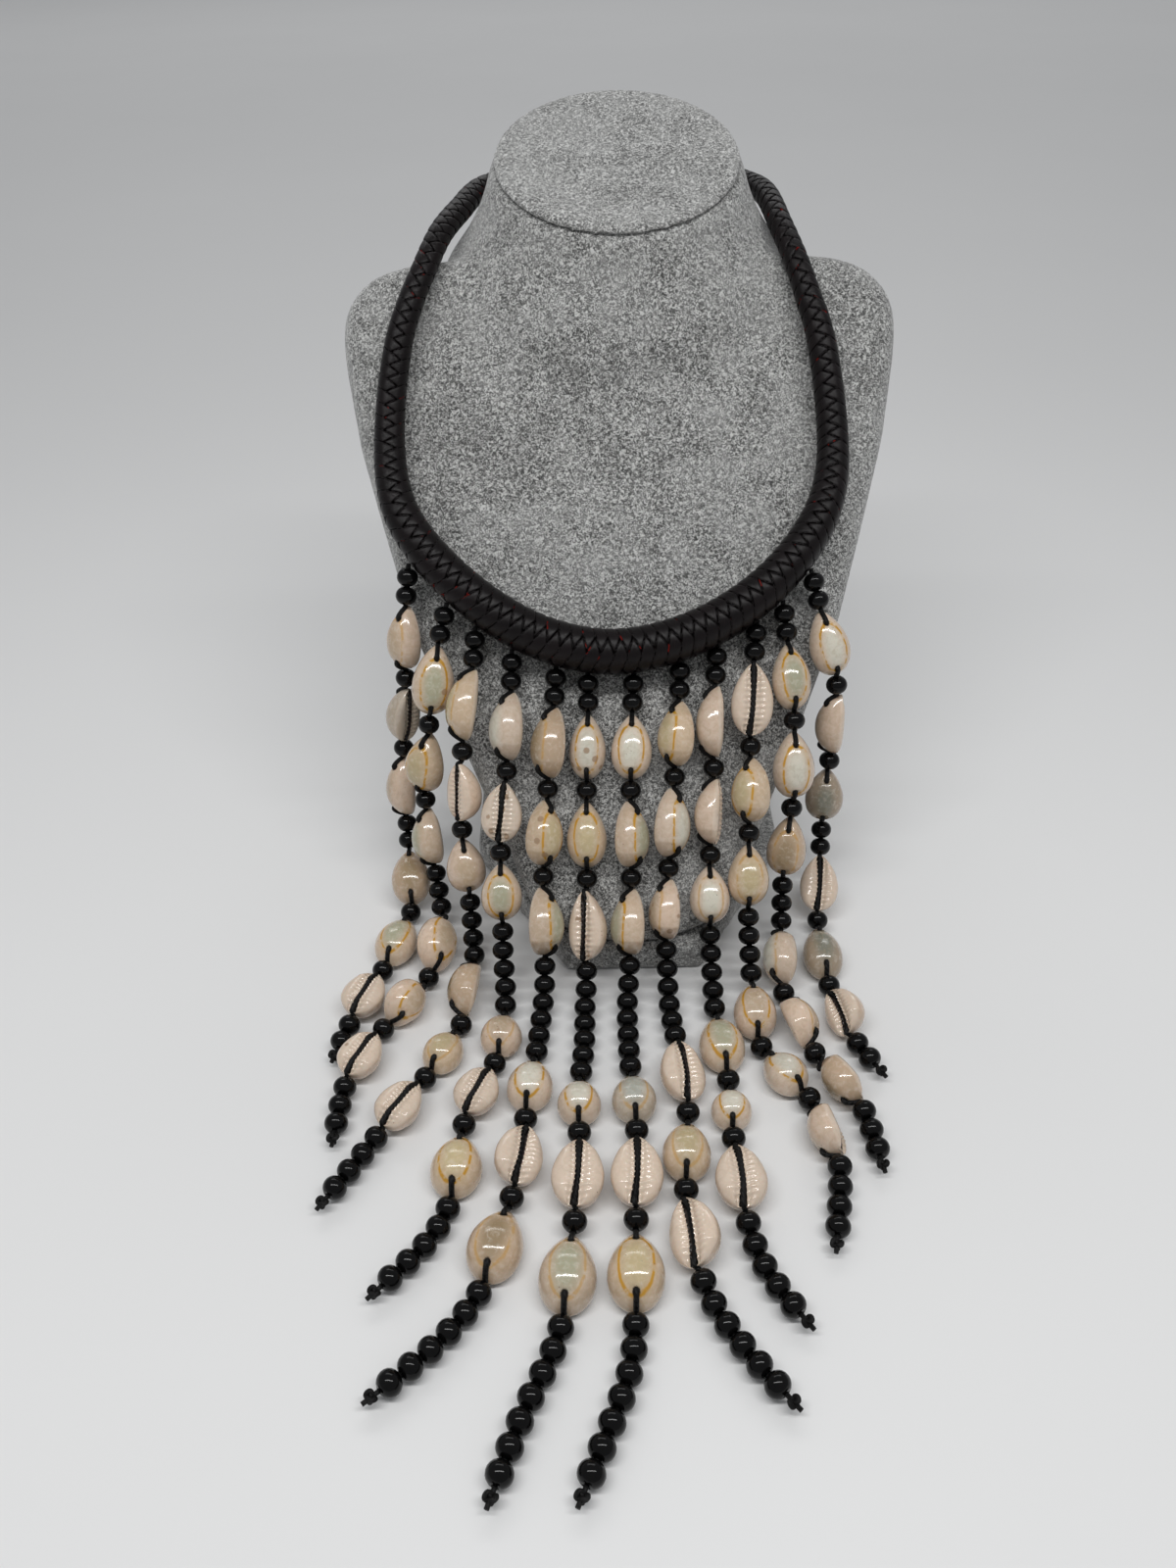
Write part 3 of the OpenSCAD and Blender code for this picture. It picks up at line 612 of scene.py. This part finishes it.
# Colours of a shell: tones of its back inside the gold ring, and of its sides, for each letter of the codes
TONES = {
    "w": ((0.64, 0.61, 0.51), (0.66, 0.52, 0.40)),
    "g": ((0.40, 0.39, 0.27), (0.60, 0.46, 0.335)),
    "y": ((0.52, 0.42, 0.24), (0.61, 0.46, 0.315)),
    "p": ((0.50, 0.38, 0.26), (0.67, 0.51, 0.385)),
    "b": ((0.32, 0.23, 0.13), (0.52, 0.38, 0.26)),
    "s": ((0.38, 0.39, 0.34), (0.50, 0.42, 0.33)),
    "d": ((0.20, 0.20, 0.155), (0.32, 0.25, 0.18)),
}
CLOUD = (0.74, 0.66, 0.56)
SHADE = (0.42, 0.33, 0.22)
FRECKLE = (0.36, 0.27, 0.18)
RING_GLOW = (0.62, 0.40, 0.12)
RING_GOLD = (0.52, 0.26, 0.015)
TOOTH_PALE = (0.76, 0.66, 0.55)
SPOT_RIM = (0.30, 0.17, 0.09)
SPOT = (0.33, 0.22, 0.13)
PIT = (0.16, 0.10, 0.06)
# Painted shade, near black, in the drilled holes and in the slit of each shell
PAINTED_HOLE_SHADE = (0.020, 0.011, 0.008)
# Gold ring on the back: its half width, and its middle and half length along the shell
RING_WIDTH = 0.60
RING_MIDDLE = 0.54
RING_LENGTH = 0.36
# Length and half width of a usual shell, which turn shares into millimetres
USUAL_LENGTH = 24.0
USUAL_HALF_WIDTH = 7.6


def cell_distance(n, vector, scale):
    """Distance from the nearest of many scattered points."""
    cells = n.node("ShaderNodeTexVoronoi", feature="F1")
    n.put(cells.inputs["Vector"], vector)
    cells.inputs["Scale"].default_value = scale
    return cells.outputs["Distance"]


def from_ring_middle(n, across, along, soft):
    """How far a place is from the middle of the gold ring: 1 on its line."""
    to_side = n.math("POWER", n.math("DIVIDE", n.absolute(across), RING_WIDTH), 2.0)
    to_end = n.math("POWER", n.absolute(n.math("DIVIDE", n.minus(along, RING_MIDDLE), RING_LENGTH)), 2.3)
    r = n.math("POWER", n.plus(to_side, to_end), 0.5)
    return n.plus(r, n.times(n.minus(soft, 0.5), 0.16))


def painted_hole_shade_mask(n, across, height, along, fine):
    """1 in the drilled holes of the back, which are darkened there as painted shade."""
    painted_shade = 0.0
    for place_z in HOLES:
        dz = n.times(n.minus(along, place_z), USUAL_LENGTH)
        dx = n.times(across, USUAL_HALF_WIDTH)
        d = n.math("SQRT", n.plus(n.times(dz, dz), n.times(dx, dx)))
        d = n.plus(d, n.times(n.minus(fine, 0.5), 0.7))
        hole = n.times(n.step(d, 1.25, 0.85), n.step(height, 0.2, 0.3))
        painted_shade = n.math("MAXIMUM", painted_shade, hole)
    return painted_shade


def shell_material():
    n = Nodes("cowrie")
    place = n.attribute("place")
    grain = n.attribute("grain")
    back_tone = n.attribute("back_tone")
    side_tone = n.attribute("side_tone")
    marks = n.attribute("marks")
    across, height, along = n.split(place)
    ring_on, spots_on, _ = n.split(marks)
    soft = n.noise(grain, 0.22, 3.0, 0.55)
    cloudy = n.noise(grain, 0.5, 4.0, 0.6, 0.6)
    fine = n.noise(grain, 2.2, 3.0, 0.6)

    # The gold ring and the zone inside it
    r = from_ring_middle(n, across, along, soft)
    on_back = n.step(height, 0.30, 0.62)
    inside = n.times(n.minus(1.0, n.step(r, 0.35, 1.20)), on_back)
    gap = n.absolute(n.minus(r, 1.0))
    line = n.minus(1.0, n.step(gap, 0.035, 0.105))
    broken = n.step(n.noise(grain, 0.35, 2.0, 0.5), 0.36, 0.5)
    line = n.times(n.times(line, on_back), n.times(ring_on, broken))
    glow = n.minus(1.0, n.step(gap, 0.0, 0.28))
    glow = n.times(n.times(glow, on_back), n.times(ring_on, 0.22))

    colour = n.mix(inside, side_tone, back_tone)
    colour = n.mix(n.times(n.step(cloudy, 0.45, 0.75), 0.35), colour, CLOUD)
    colour = n.mix(n.times(n.step(cloudy, 0.55, 0.3), 0.30), colour, SHADE)
    colour = n.mix(n.times(n.step(fine, 0.56, 0.7), 0.16), colour, FRECKLE)
    colour = n.mix(glow, colour, RING_GLOW)
    colour = n.mix(n.times(line, 0.95), colour, RING_GOLD)

    # A paler base, with the teeth
    base_zone = n.times(n.step(height, 0.12, 0.02), 0.35)
    colour = n.mix(base_zone, colour, TOOTH_PALE)

    # Brown spots
    wobble = n.times(n.minus(fine, 0.5), 0.12)
    reach = n.plus(cell_distance(n, grain, 0.16), wobble)
    spot = n.times(n.step(reach, 0.21, 0.15), spots_on)
    rim = n.times(n.step(reach, 0.23, 0.19), spots_on)
    colour = n.mix(n.times(rim, 0.5), colour, SPOT_RIM)
    colour = n.mix(n.times(spot, 0.6), colour, SPOT)

    # Small dark pits
    chosen = n.step(n.noise(grain, 0.18, 1.0), 0.56, 0.62)
    pit = n.times(n.step(cell_distance(n, grain, 0.42), 0.11, 0.05), chosen)
    colour = n.mix(n.times(pit, 0.65), colour, PIT)

    # Painted shade: the drilled holes in the back and the slit are darkened to near black
    painted_shade = painted_hole_shade_mask(n, across, height, along, fine)
    inner = n.split(n.attribute("inner"))[0]
    painted_shade = n.math("MAXIMUM", painted_shade, n.step(inner, 0.35, 0.75))
    colour = n.mix(painted_shade, colour, PAINTED_HOLE_SHADE)

    growth = n.noise(n.vector("MULTIPLY", grain, (0.3, 0.3, 2.4)), 1.0, 2.0)
    lumps = n.plus(n.times(soft, 0.7), n.times(growth, 0.08))
    bump = n.bump(lumps, 0.0005, 0.35)
    bump = n.bump(n.times(pit, -1.0), 0.0002, 0.6, bump)
    rough = n.plus(0.11, n.times(n.step(fine, 0.4, 0.8), 0.12))
    rough = n.plus(rough, n.times(painted_shade, 0.5))
    n.set(Base_Color=colour, Roughness=rough, Normal=bump)
    n.set(Specular_IOR_Level=0.5, Coat_Weight=0.5, Coat_Roughness=0.04)
    n.set(Subsurface_Weight=0.05, Subsurface_Scale=0.002)
    return n.material


def bead_material():
    n = Nodes("black_bead")
    place = n.place()
    soft = n.noise(place, 260.0, 2.0)
    fine = n.noise(place, 2400.0, 3.0)
    colour = n.mix(soft, (0.0015, 0.0015, 0.0016), (0.004, 0.0037, 0.0037))
    scuff = n.step(fine, 0.62, 0.8)
    n.set(Base_Color=n.mix(n.times(scuff, 0.3), colour, (0.02, 0.02, 0.02)))
    n.set(Roughness=n.plus(0.10, n.times(scuff, 0.12)))
    n.set(Normal=n.bump(soft, 0.0004, 0.10), Specular_IOR_Level=0.2)
    return n.material


def thread_material():
    n = Nodes("waxed_thread")
    lay = n.attribute("lay")
    around, along, _ = n.split(lay)
    twist = n.math("SINE", n.plus(n.times(around, 3.0), n.times(along, 3.4)))
    fibre = n.noise(n.vector("MULTIPLY", lay, (3.0, 0.6, 1.0)), 4.0, 3.0)
    tone = n.plus(n.times(twist, 0.25), n.times(fibre, 0.6), clamp=True)
    n.set(Base_Color=n.mix(tone, (0.002, 0.002, 0.002), (0.010, 0.009, 0.009)))
    n.set(Roughness=n.plus(0.42, n.times(fibre, 0.25)), Specular_IOR_Level=0.22)
    height = n.plus(n.times(twist, 0.5), n.times(fibre, 0.5))
    n.set(Normal=n.bump(height, 0.00025, 0.7))
    return n.material


def bead_shape():
    """Rings of a drilled bead along Z, rounded at its bore."""
    end = BEAD_LEN / 2
    angles = np.linspace(-1, 1, 10) * math.radians(80)
    outer = [(BEAD_D / 2 - end + end * math.cos(q), end * math.sin(q)) for q in angles]
    bore = [(BORE_D / 2, end - BORE_ROUNDING), (BORE_D / 2, BORE_ROUNDING - end)]
    r, z = np.array(outer + bore).T[:, :, None]
    spin = np.arange(BEAD_SIDES) * 2 * math.pi / BEAD_SIDES
    return np.stack([r * np.cos(spin), r * np.sin(spin), z + 0 * spin], -1)


def add_cord(gather, path, radius):
    """Adds a thread along a path, with each point's place round and along it."""
    points, faces = closed_skin(tube(path, radius, THREAD_SIDES))
    run = running_length(path)
    around = np.tile(np.arange(THREAD_SIDES) * 2 * math.pi / THREAD_SIDES, len(path))
    lay = np.stack([around, np.repeat(run, THREAD_SIDES), 0 * around], 1)
    lay = np.concatenate([lay, [[0, run[0], 0], [0, run[-1], 0]]])
    gather.add(points, faces, lay=lay)


# A shell turned further than this from its back shows its slit, and the thread goes through it
APERTURE_TURN = 115
# Stops of a thread along a shell's slit, and its depth there under the lips for each letter of the codes
SLIT_STOPS = np.array([0.02, 0.07, 0.14, 0.24, 0.36, 0.48, 0.60, 0.74, 0.88, 0.97])
SLIT_DEPTHS = {
    "c": (0.5, 1.0, 1.5, 1.7, 1.7, 1.7, 1.7, 1.7, 1.5, 0.6),
    "h": (0.5, 1.0, 1.5, 1.6, 1.7, 2.0, 3.0, 3.4, 2.8, 0.7),
    "": (0.6, 1.4, 2.6, 3.4, 3.4, 3.4, 3.4, 3.4, 2.6, 0.7),
}
# Stops of a thread over a shell's back and through its holes, and its lift there over the back
BACK_STOPS = np.array([0.02, 0.06, 0.12, 0.17, 0.24, 0.76, 0.86, 0.91, 0.955, 0.985])
BACK_LIFTS = np.array([0.85, 0.85, 0.8, 0.0, -3.0, -3.0, 0.0, 0.8, 0.85, 0.85])


def thread_over(shell):
    """Way of the thread past a shell, from one end to the other, in the part's frame."""
    if abs((shell.turn + 180) % 360 - 180) > APERTURE_TURN:
        t = SLIT_STOPS
        low = base_height(t)
        y = low + np.minimum(np.array(SLIT_DEPTHS[shell.cord]), 0.45 * (back_height(t, shell.a) - low))
        x = slit_line(t, shell.a)
    else:
        t = BACK_STOPS
        y = back_height(t, shell.a) + BACK_LIFTS
        x = 0 * t
    return shell.to_part(np.stack([x, y, (t - 0.5) * shell.length], 1))


def add_shell(shells, shell, code, seed):
    """Adds one shell, with the values that colour it."""
    points, faces, place, inner = cowrie(shell.length, shell.a, seed)
    rng = np.random.RandomState(seed)
    back, side = (np.array(tone) * rng.uniform(0.9, 1.08) for tone in TONES[code[0]])
    marks = (int(code[1]) / 2, float("*" in code), 0.0)
    shells.add(shell.to_part(points), faces, place=place, inner=inner, grain=points + rng.uniform(0, 400, 3),
               back_tone=back, side_tone=side, marks=marks)


def make_strand(k, materials):
    """The shells, the beads and the thread of one strand, item by item from the collar to the knot."""
    kinds = strand_kinds(k)
    joints, start, end = thread_joints(k)
    if len(joints) != len(kinds) + 1:
        raise SystemExit(f"strand {k}: {len(joints)} joints for {len(kinds)} items")
    solids = loose_solids(f"strand_{k}_shells")
    shells = Gather("place", "inner", "grain", "back_tone", "side_tone", "marks")
    beads = Gather()
    thread = Gather("lay")
    bead_points, bead_faces = ring_skin(bead_shape())
    way = [start]
    number = 0
    for kind, a, b in zip(kinds, joints[:-1], joints[1:]):
        way.append(a)
        if kind == "b":
            ways, middle = item_frame(a, b)
            beads.add(middle + bead_points @ ways.T, bead_faces)
            way.append(middle)
            continue
        turn, code = SHELLS[k - 1][number]
        shell = Shell(a, b, solids, turn, code[2:].strip("*"))
        add_shell(shells, shell, code, 10 * k + number)
        way.extend(thread_over(shell))
        number += 1
    way.append(joints[-1])
    add_cord(thread, smooth_path(way, THREAD_STEPS), THREAD_D / 2)
    add_knot(thread, joints[-1], end, unit(joints[-1] - joints[-2]))
    pieces = (
        shells.build(f"strand_{k}_cowries", materials["shell"]),
        beads.build(f"strand_{k}_round_beads", materials["bead"]),
        thread.build(f"strand_{k}_waxed_thread", materials["thread"]),
    )
    for piece, word in zip(pieces, ("shells", "beads", "thread")):
        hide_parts(f"strand_{k}_{word}")


KNOT_CORD_R = 0.8
# Loop of the knot: its points, its size across and along, and its middle past the last bead
KNOT_POINTS = 41
KNOT_ACROSS = 0.775
KNOT_ALONG = 0.825
KNOT_MIDDLE = 2.6
# Length of the cord inside the knot, and of the end that stands past the CAD's knot
KNOT_CORE = 2.4
KNOT_END = 0.6


def add_knot(thread, joint, end, last):
    """A small overhand knot and its cut end."""
    ways, _ = item_frame(joint, joint + last)
    t = np.linspace(0, 2 * math.pi, KNOT_POINTS)
    loop = np.stack([
        KNOT_ACROSS * (np.sin(t) + 1.2 * np.sin(2 * t)),
        KNOT_ACROSS * (np.cos(t) - 1.2 * np.cos(2 * t)),
        KNOT_MIDDLE - KNOT_ALONG * np.sin(3 * t),
    ], 1)
    add_cord(thread, joint + loop @ ways.T, KNOT_CORD_R)
    core = [joint, joint + KNOT_CORE * last, end, end + KNOT_END * last]
    add_cord(thread, smooth_path(core, THREAD_STEPS), KNOT_CORD_R)


# Collar of braided leather. The braid has columns round the rope and levels along it, and each strap shows as a
# bulging diamond, one column and one level wide to each side of its middle

# Sides of the CAD collar, and how far before its rearmost point its first end face may lie
COLLAR_SIDES = 10
END_REACH = 12
# Steps of the smooth collar from one CAD ring to the next
COLLAR_STEPS = 10
# Length from one strap to the next, and columns of straps round the rope
STRAP_PITCH = 5.0
BRAID_COLUMNS = 8
# Quads across a diamond, and how much closer together they are at its edges
PATCH = 8
PATCH_BUNCHING = 0.6
# Turn of the braid's ridge towards the inside of the loop, in degrees, and the column that it lies in
RIDGE_TURN = 9.0
RIDGE_COLUMN = 1.5
# Depth of the braid as a share of the radius and in all, and the share of it that lies under the CAD's surface
BRAID_DEPTH = 0.045
BRAID_DEPTH_LEAST = 0.15
BRAID_SINK = 0.72
# Added to the number of a strap that runs the other way
OTHER_STRAPS = 500
# Points of two diamonds that are nearer than this, in metres, are one
JOIN = 2e-6


def collar_rings():
    """Middle and radius of each ring of the CAD collar, in order, found from its faces."""
    points, faces = node_points("collar")
    near = {}
    for face in faces:
        for a, b in zip(face, face[1:] + face[:1]):
            near.setdefault(a, set()).add(b)
            near.setdefault(b, set()).add(a)
    at_back = (points[:, 0] < 0) & (points[:, 1] > points[:, 1].max() - END_REACH)
    order = np.argsort(np.where(at_back, -points[:, 0], np.inf))
    following = [int(v) for v in order[:COLLAR_SIDES]]
    rings = []
    seen = set()
    while len(following) >= COLLAR_SIDES:
        rings.append(following)
        seen.update(following)
        following = list(dict.fromkeys(w for v in rings[-1] for w in near[v] if w not in seen))
    centres = np.array([points[r].mean(0) for r in rings])
    radii = np.array([np.linalg.norm(points[r] - points[r].mean(0), axis=1).mean() for r in rings])
    return centres, radii


def collar_ways(path):
    """Ways out to the front, and across to the inside of the loop, at each point of the collar."""
    along = np.gradient(path, axis=0)
    along /= np.linalg.norm(along, axis=1)[:, None]
    out = FACING - (along @ FACING)[:, None] * along
    out /= np.linalg.norm(out, axis=1)[:, None]
    inner = np.cross(out, along)
    half_way = len(path) // 2
    if (path.mean(0) - path[half_way]) @ inner[half_way] < 0:
        inner = -inner
    return out, inner


def make_collar(material):
    """The braid, diamond by diamond, round a smooth line through the CAD collar's rings."""
    centres, radii = collar_rings()
    path = smooth_path(centres, COLLAR_STEPS)
    size = smooth_path(radii[:, None], COLLAR_STEPS)[:, 0]
    run = running_length(path)
    levels = int(round(run[-1] / STRAP_PITCH)) * 2
    out, inner = collar_ways(path)

    def sample(values, s):
        return np.stack([np.interp(s, run, values[:, c]) for c in range(3)], -1)

    k = np.arange(PATCH + 1)
    g = -PATCH_BUNCHING * np.cos(math.pi * k / PATCH) + (1 - PATCH_BUNCHING) * (2 * k / PATCH - 1)
    a, b = np.meshgrid(g, g, indexing="ij")
    grid = np.arange((PATCH + 1) ** 2).reshape(PATCH + 1, PATCH + 1)
    quads = np.stack([grid[:-1, :-1], grid[1:, :-1], grid[1:, 1:], grid[:-1, 1:]], -1).reshape(-1, 4)
    diamonds = Gather("strap")
    for level in range(levels + 1):
        for column in range(level % 2, BRAID_COLUMNS, 2):
            s = np.clip(level + (a + b) / 2, 0, levels) * run[-1] / levels
            kind = column % 4
            across, part = (b, a) if kind in (0, 1) else (a, b)
            u = (part - 1) / 2 if kind in (0, 3) else (part + 1) / 2
            shape = (1 - np.abs(across) ** 14) * (1 - np.abs(u) ** 12)
            dome = 1 - 0.10 * across ** 2 - 0.35 * u ** 2
            radius = np.interp(s, run, size)
            deep = BRAID_DEPTH * radius + BRAID_DEPTH_LEAST
            r = radius + deep * (shape * dome - BRAID_SINK)
            column_turn = 2 * math.pi * (column + (a - b) / 2 - RIDGE_COLUMN) / BRAID_COLUMNS
            turn = column_turn + math.radians(RIDGE_TURN)
            ring = np.cos(turn)[..., None] * sample(out, s) + np.sin(turn)[..., None] * sample(inner, s)
            number = (level + column) // 2 if kind in (2, 3) else (level - column) // 2 + OTHER_STRAPS
            strap = np.stack([across, u, np.full(across.shape, float(number))], -1)
            points = sample(path, s) + r[..., None] * ring
            diamonds.add(points.reshape(-1, 3), quads.tolist(), strap=strap.reshape(-1, 3))
    piece = diamonds.build("braided_collar", material)
    work = bmesh.new()
    work.from_mesh(piece.data)
    bmesh.ops.remove_doubles(work, verts=work.verts, dist=JOIN)
    bmesh.ops.dissolve_degenerate(work, edges=work.edges, dist=JOIN / 2)
    bmesh.ops.holes_fill(work, edges=[e for e in work.edges if e.is_boundary], sides=0)
    bmesh.ops.recalc_face_normals(work, faces=work.faces)
    work.to_mesh(piece.data)
    work.free()
    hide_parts("collar")


# Colours of the collar
LEATHER_DARK = (0.0022, 0.0017, 0.0018)
LEATHER_WORN = (0.007, 0.0045, 0.0048)
LEATHER_OTHER = (0.008, 0.005, 0.0055)
LEATHER_SCUFF = (0.022, 0.014, 0.014)
# Painted shade in the grooves at the borders of the straps
LEATHER_GROOVE_SHADE = (0.0012, 0.001, 0.001)
LEATHER_FLECK = (0.20, 0.010, 0.006)


def leather_material():
    n = Nodes("braided_leather")
    strap = n.attribute("strap")
    across, along, _ = n.split(strap)
    place = n.place()
    cell = n.noise(n.vector("MULTIPLY", strap, (0.0, 0.0, 0.37)), 1.0, 0.0)
    wear = n.noise(place, 420.0, 4.0, 0.6)
    grain = n.noise(place, 2600.0, 4.0, 0.65)
    lines = n.noise(n.vector("MULTIPLY", strap, (5.0, 1.6, 7.3)), 1.0, 4.0, 0.6)
    colour = n.mix(wear, LEATHER_DARK, LEATHER_WORN)
    colour = n.mix(n.times(n.step(cell, 0.45, 0.6), 0.5), colour, LEATHER_OTHER)
    scuff = n.times(n.step(lines, 0.56, 0.75), n.step(wear, 0.45, 0.65))
    colour = n.mix(n.times(scuff, 0.55), colour, LEATHER_SCUFF)
    # Painted shade in the grooves at each diamond's border, where the straps dive under each other; the reflection
    # is also taken out there
    border = n.math("MAXIMUM", n.absolute(across), n.absolute(along))
    groove_shade = n.step(border, 0.80, 0.95)
    colour = n.mix(n.times(groove_shade, 0.9), colour, LEATHER_GROOVE_SHADE)
    edge = n.step(n.absolute(across), 0.86, 0.94)
    fleck = n.step(n.noise(place, 190.0, 2.0), 0.62, 0.67)
    colour = n.mix(n.times(edge, fleck), colour, LEATHER_FLECK)
    rough = n.plus(0.20, n.times(grain, 0.22))
    height = n.plus(n.times(grain, 0.35), n.times(lines, 0.65))
    bump = n.bump(height, 0.0004, 0.55)
    n.set(Base_Color=colour, Roughness=rough, Normal=bump)
    n.set(Specular_IOR_Level=n.times(n.minus(1.0, groove_shade), 0.2))
    return n.material


# Outline of one half of the sleeve: places from its end to its middle as shares of its half length, with its radius
# there as a share of the CAD's
SLEEVE_OUTLINE = (
    (-1.0, 0.70), (-1.0, 0.86), (-0.97, 0.95), (-0.90, 1.0), (-0.80, 1.0), (-0.76, 0.95), (-0.72, 0.93),
    (-0.68, 0.95), (-0.60, 0.985), (-0.3, 0.995), (0.0, 1.0),
)
SLEEVE_SIDES = 48


def make_sleeve(material):
    """The sleeve, with a bead and a groove towards each end."""
    low, high = (np.array(corner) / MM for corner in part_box("clasp"))
    half_length, _, radius = (high - low) / 2
    outline = SLEEVE_OUTLINE + tuple((-x, r) for x, r in SLEEVE_OUTLINE[-2::-1])
    x, r = np.array(outline).T[:, :, None]
    spin = np.arange(SLEEVE_SIDES) * 2 * math.pi / SLEEVE_SIDES
    rings = [x * half_length + 0 * spin, r * radius * np.cos(spin), r * radius * np.sin(spin)]
    points, faces = closed_skin(np.stack(rings, -1) + (low + high) / 2)
    piece = mesh_piece("collar_sleeve", points * MM, faces, material)
    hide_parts("clasp")


def sleeve_material():
    n = Nodes("sleeve_metal")
    place = n.place()
    brushed = n.noise(n.vector("MULTIPLY", place, (3000.0, 260.0, 260.0)), 1.0, 3.0)
    wear = n.noise(place, 300.0, 3.0)
    colour = n.mix(wear, (0.020, 0.018, 0.018), (0.045, 0.040, 0.038))
    n.set(Base_Color=colour, Roughness=n.plus(0.28, n.times(brushed, 0.2)))
    n.set(Normal=n.bump(brushed, 0.0001, 0.3), Metallic=0.6)
    return n.material


# Velvet bust

def velvet_material():
    n = Nodes("grey_velvet")
    place = n.place()
    drift = n.noise(place, 260.0, 3.0, 0.6, colour=True)
    moved = n.vector("ADD", place, n.vector("MULTIPLY", drift, (0.0022, 0.0022, 0.0022)))
    nap = n.noise(moved, 1000.0, 1.0, 0.6, 1.2)
    fine = n.noise(moved, 3200.0, 2.0, 0.6)
    patch = n.noise(place, 75.0, 3.0, 0.55)
    broad = n.noise(place, 16.0, 2.0, 0.5)
    tuft = n.plus(n.times(nap, 0.72), n.times(fine, 0.28))
    colour = n.ramp(tuft, (0.40, (0.035, 0.035, 0.034)), (0.50, (0.235, 0.235, 0.225)), (0.59, (0.70, 0.70, 0.68)))
    tint = n.plus(n.times(patch, 0.55), n.times(broad, 0.45))
    colour = n.mix(n.times(n.step(tint, 0.42, 0.62), 0.34), colour, (0.46, 0.46, 0.45))
    colour = n.mix(n.times(n.step(tint, 0.54, 0.36), 0.30), colour, (0.17, 0.17, 0.165))
    bump = n.bump(tuft, 0.0012, 0.75)
    bump = n.bump(patch, 0.0012, 0.25, bump)
    n.set(Base_Color=colour, Roughness=0.92, Normal=bump, Specular_IOR_Level=0.18)
    n.set(Sheen_Weight=0.55, Sheen_Roughness=0.45)
    return n.material


def soft_copy(name, node, material, voxel, rounds):
    """A smooth piece over a CAD node: its sharp edges are rounded as cloth rounds them."""
    points, faces = node_points(node)
    piece = mesh_piece(name, points * MM, faces, material)
    remesh = piece.modifiers.new("remesh", "REMESH")
    remesh.mode = "VOXEL"
    remesh.voxel_size = voxel * MM
    made = bpy.data.meshes.new_from_object(piece.evaluated_get(bpy.context.evaluated_depsgraph_get()))
    piece.modifiers.clear()
    work = bmesh.new()
    work.from_mesh(made)
    for _ in range(rounds):
        bmesh.ops.smooth_vert(work, verts=work.verts, factor=0.5, use_axis_x=True, use_axis_y=True, use_axis_z=True)
    work.to_mesh(made)
    work.free()
    made.polygons.foreach_set("use_smooth", [True] * len(made.polygons))
    made.materials.clear()
    made.materials.append(material)
    piece.data = made
    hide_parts(node)


# Light and floor

SKY_COLOUR = (0.95, 0.97, 1.0, 1.0)
SKY_STRENGTH = 0.34
# Lights: name, place, aim, width and depth in metres, and power in watts
LIGHTS = (
    ("strip", (0.0, -0.36, 0.95), (0.0, -0.36, 0.0), (1.3, 0.08), 6.6),
    ("back_strip", (0.0, 1.30, 1.30), (0.0, 0.0, 0.1), (1.6, 0.12), 2.0),
    ("far", (0.0, 3.2, 2.6), (0.0, 2.2, 0.0), (4.0, 1.5), 24.0),
)
# Half width of the floor, and how far it lies under the part
FLOOR_REACH = 6.0
FLOOR_DROP = 0.0004


def add_area(name, place, aim, size, power):
    data = bpy.data.lights.new(name, "AREA")
    data.shape = "RECTANGLE"
    data.size, data.size_y = size
    data.energy = power
    light = bpy.data.objects.new(name, data)
    way = Vector(aim) - Vector(place)
    light.matrix_world = Matrix.Translation(place) @ way.to_track_quat("-Z", "Y").to_matrix().to_4x4()
    bpy.context.scene.collection.objects.link(light)


def add_stage():
    """The plain pale floor."""
    n = Nodes("pale_floor")
    place = n.place()
    mottle = n.noise(place, 3.0, 3.0)
    fine = n.noise(place, 700.0, 2.0)
    n.set(Base_Color=n.mix(mottle, (0.74, 0.74, 0.735), (0.77, 0.77, 0.765)))
    n.set(Roughness=n.plus(0.5, n.times(fine, 0.1)), Specular_IOR_Level=0.3)
    mesh = bpy.data.meshes.new("floor")
    corners = [(x * FLOOR_REACH, y * FLOOR_REACH, -FLOOR_DROP) for x, y in ((-1, -1), (1, -1), (1, 1), (-1, 1))]
    mesh.from_pydata(corners, [], [(0, 1, 2, 3)])
    mesh.materials.append(n.material)
    floor = bpy.data.objects.new("floor", mesh)
    bpy.context.scene.collection.objects.link(floor)


def add_light():
    world = bpy.data.worlds.new("studio")
    bpy.context.scene.world = world
    world.use_nodes = True
    sky = world.node_tree.nodes["Background"]
    sky.inputs["Color"].default_value = SKY_COLOUR
    sky.inputs["Strength"].default_value = SKY_STRENGTH
    for light in LIGHTS:
        add_area(*light)


# The whole scene

bpy.context.scene.view_settings.view_transform = "Standard"
add_camera()
add_light()
add_stage()

# Velvet pieces: name, CAD node, size of the cells that round its edges in millimetres, and rounds of smoothing
velvet = velvet_material()
soft_copy("velvet_form", "bust_form", velvet, 2.2, 10)
soft_copy("velvet_cap", "bust_cap", velvet, 1.0, 3)
soft_copy("velvet_base", "bust_base", velvet, 2.0, 3)
soft_copy("velvet_prop", "bust_prop", velvet, 2.0, 3)
make_collar(leather_material())
make_sleeve(sleeve_material())
strand_materials = {"shell": shell_material(), "bead": bead_material(), "thread": thread_material()}
for strand in range(1, len(RUN_BEADS) + 1):
    make_strand(strand, strand_materials)
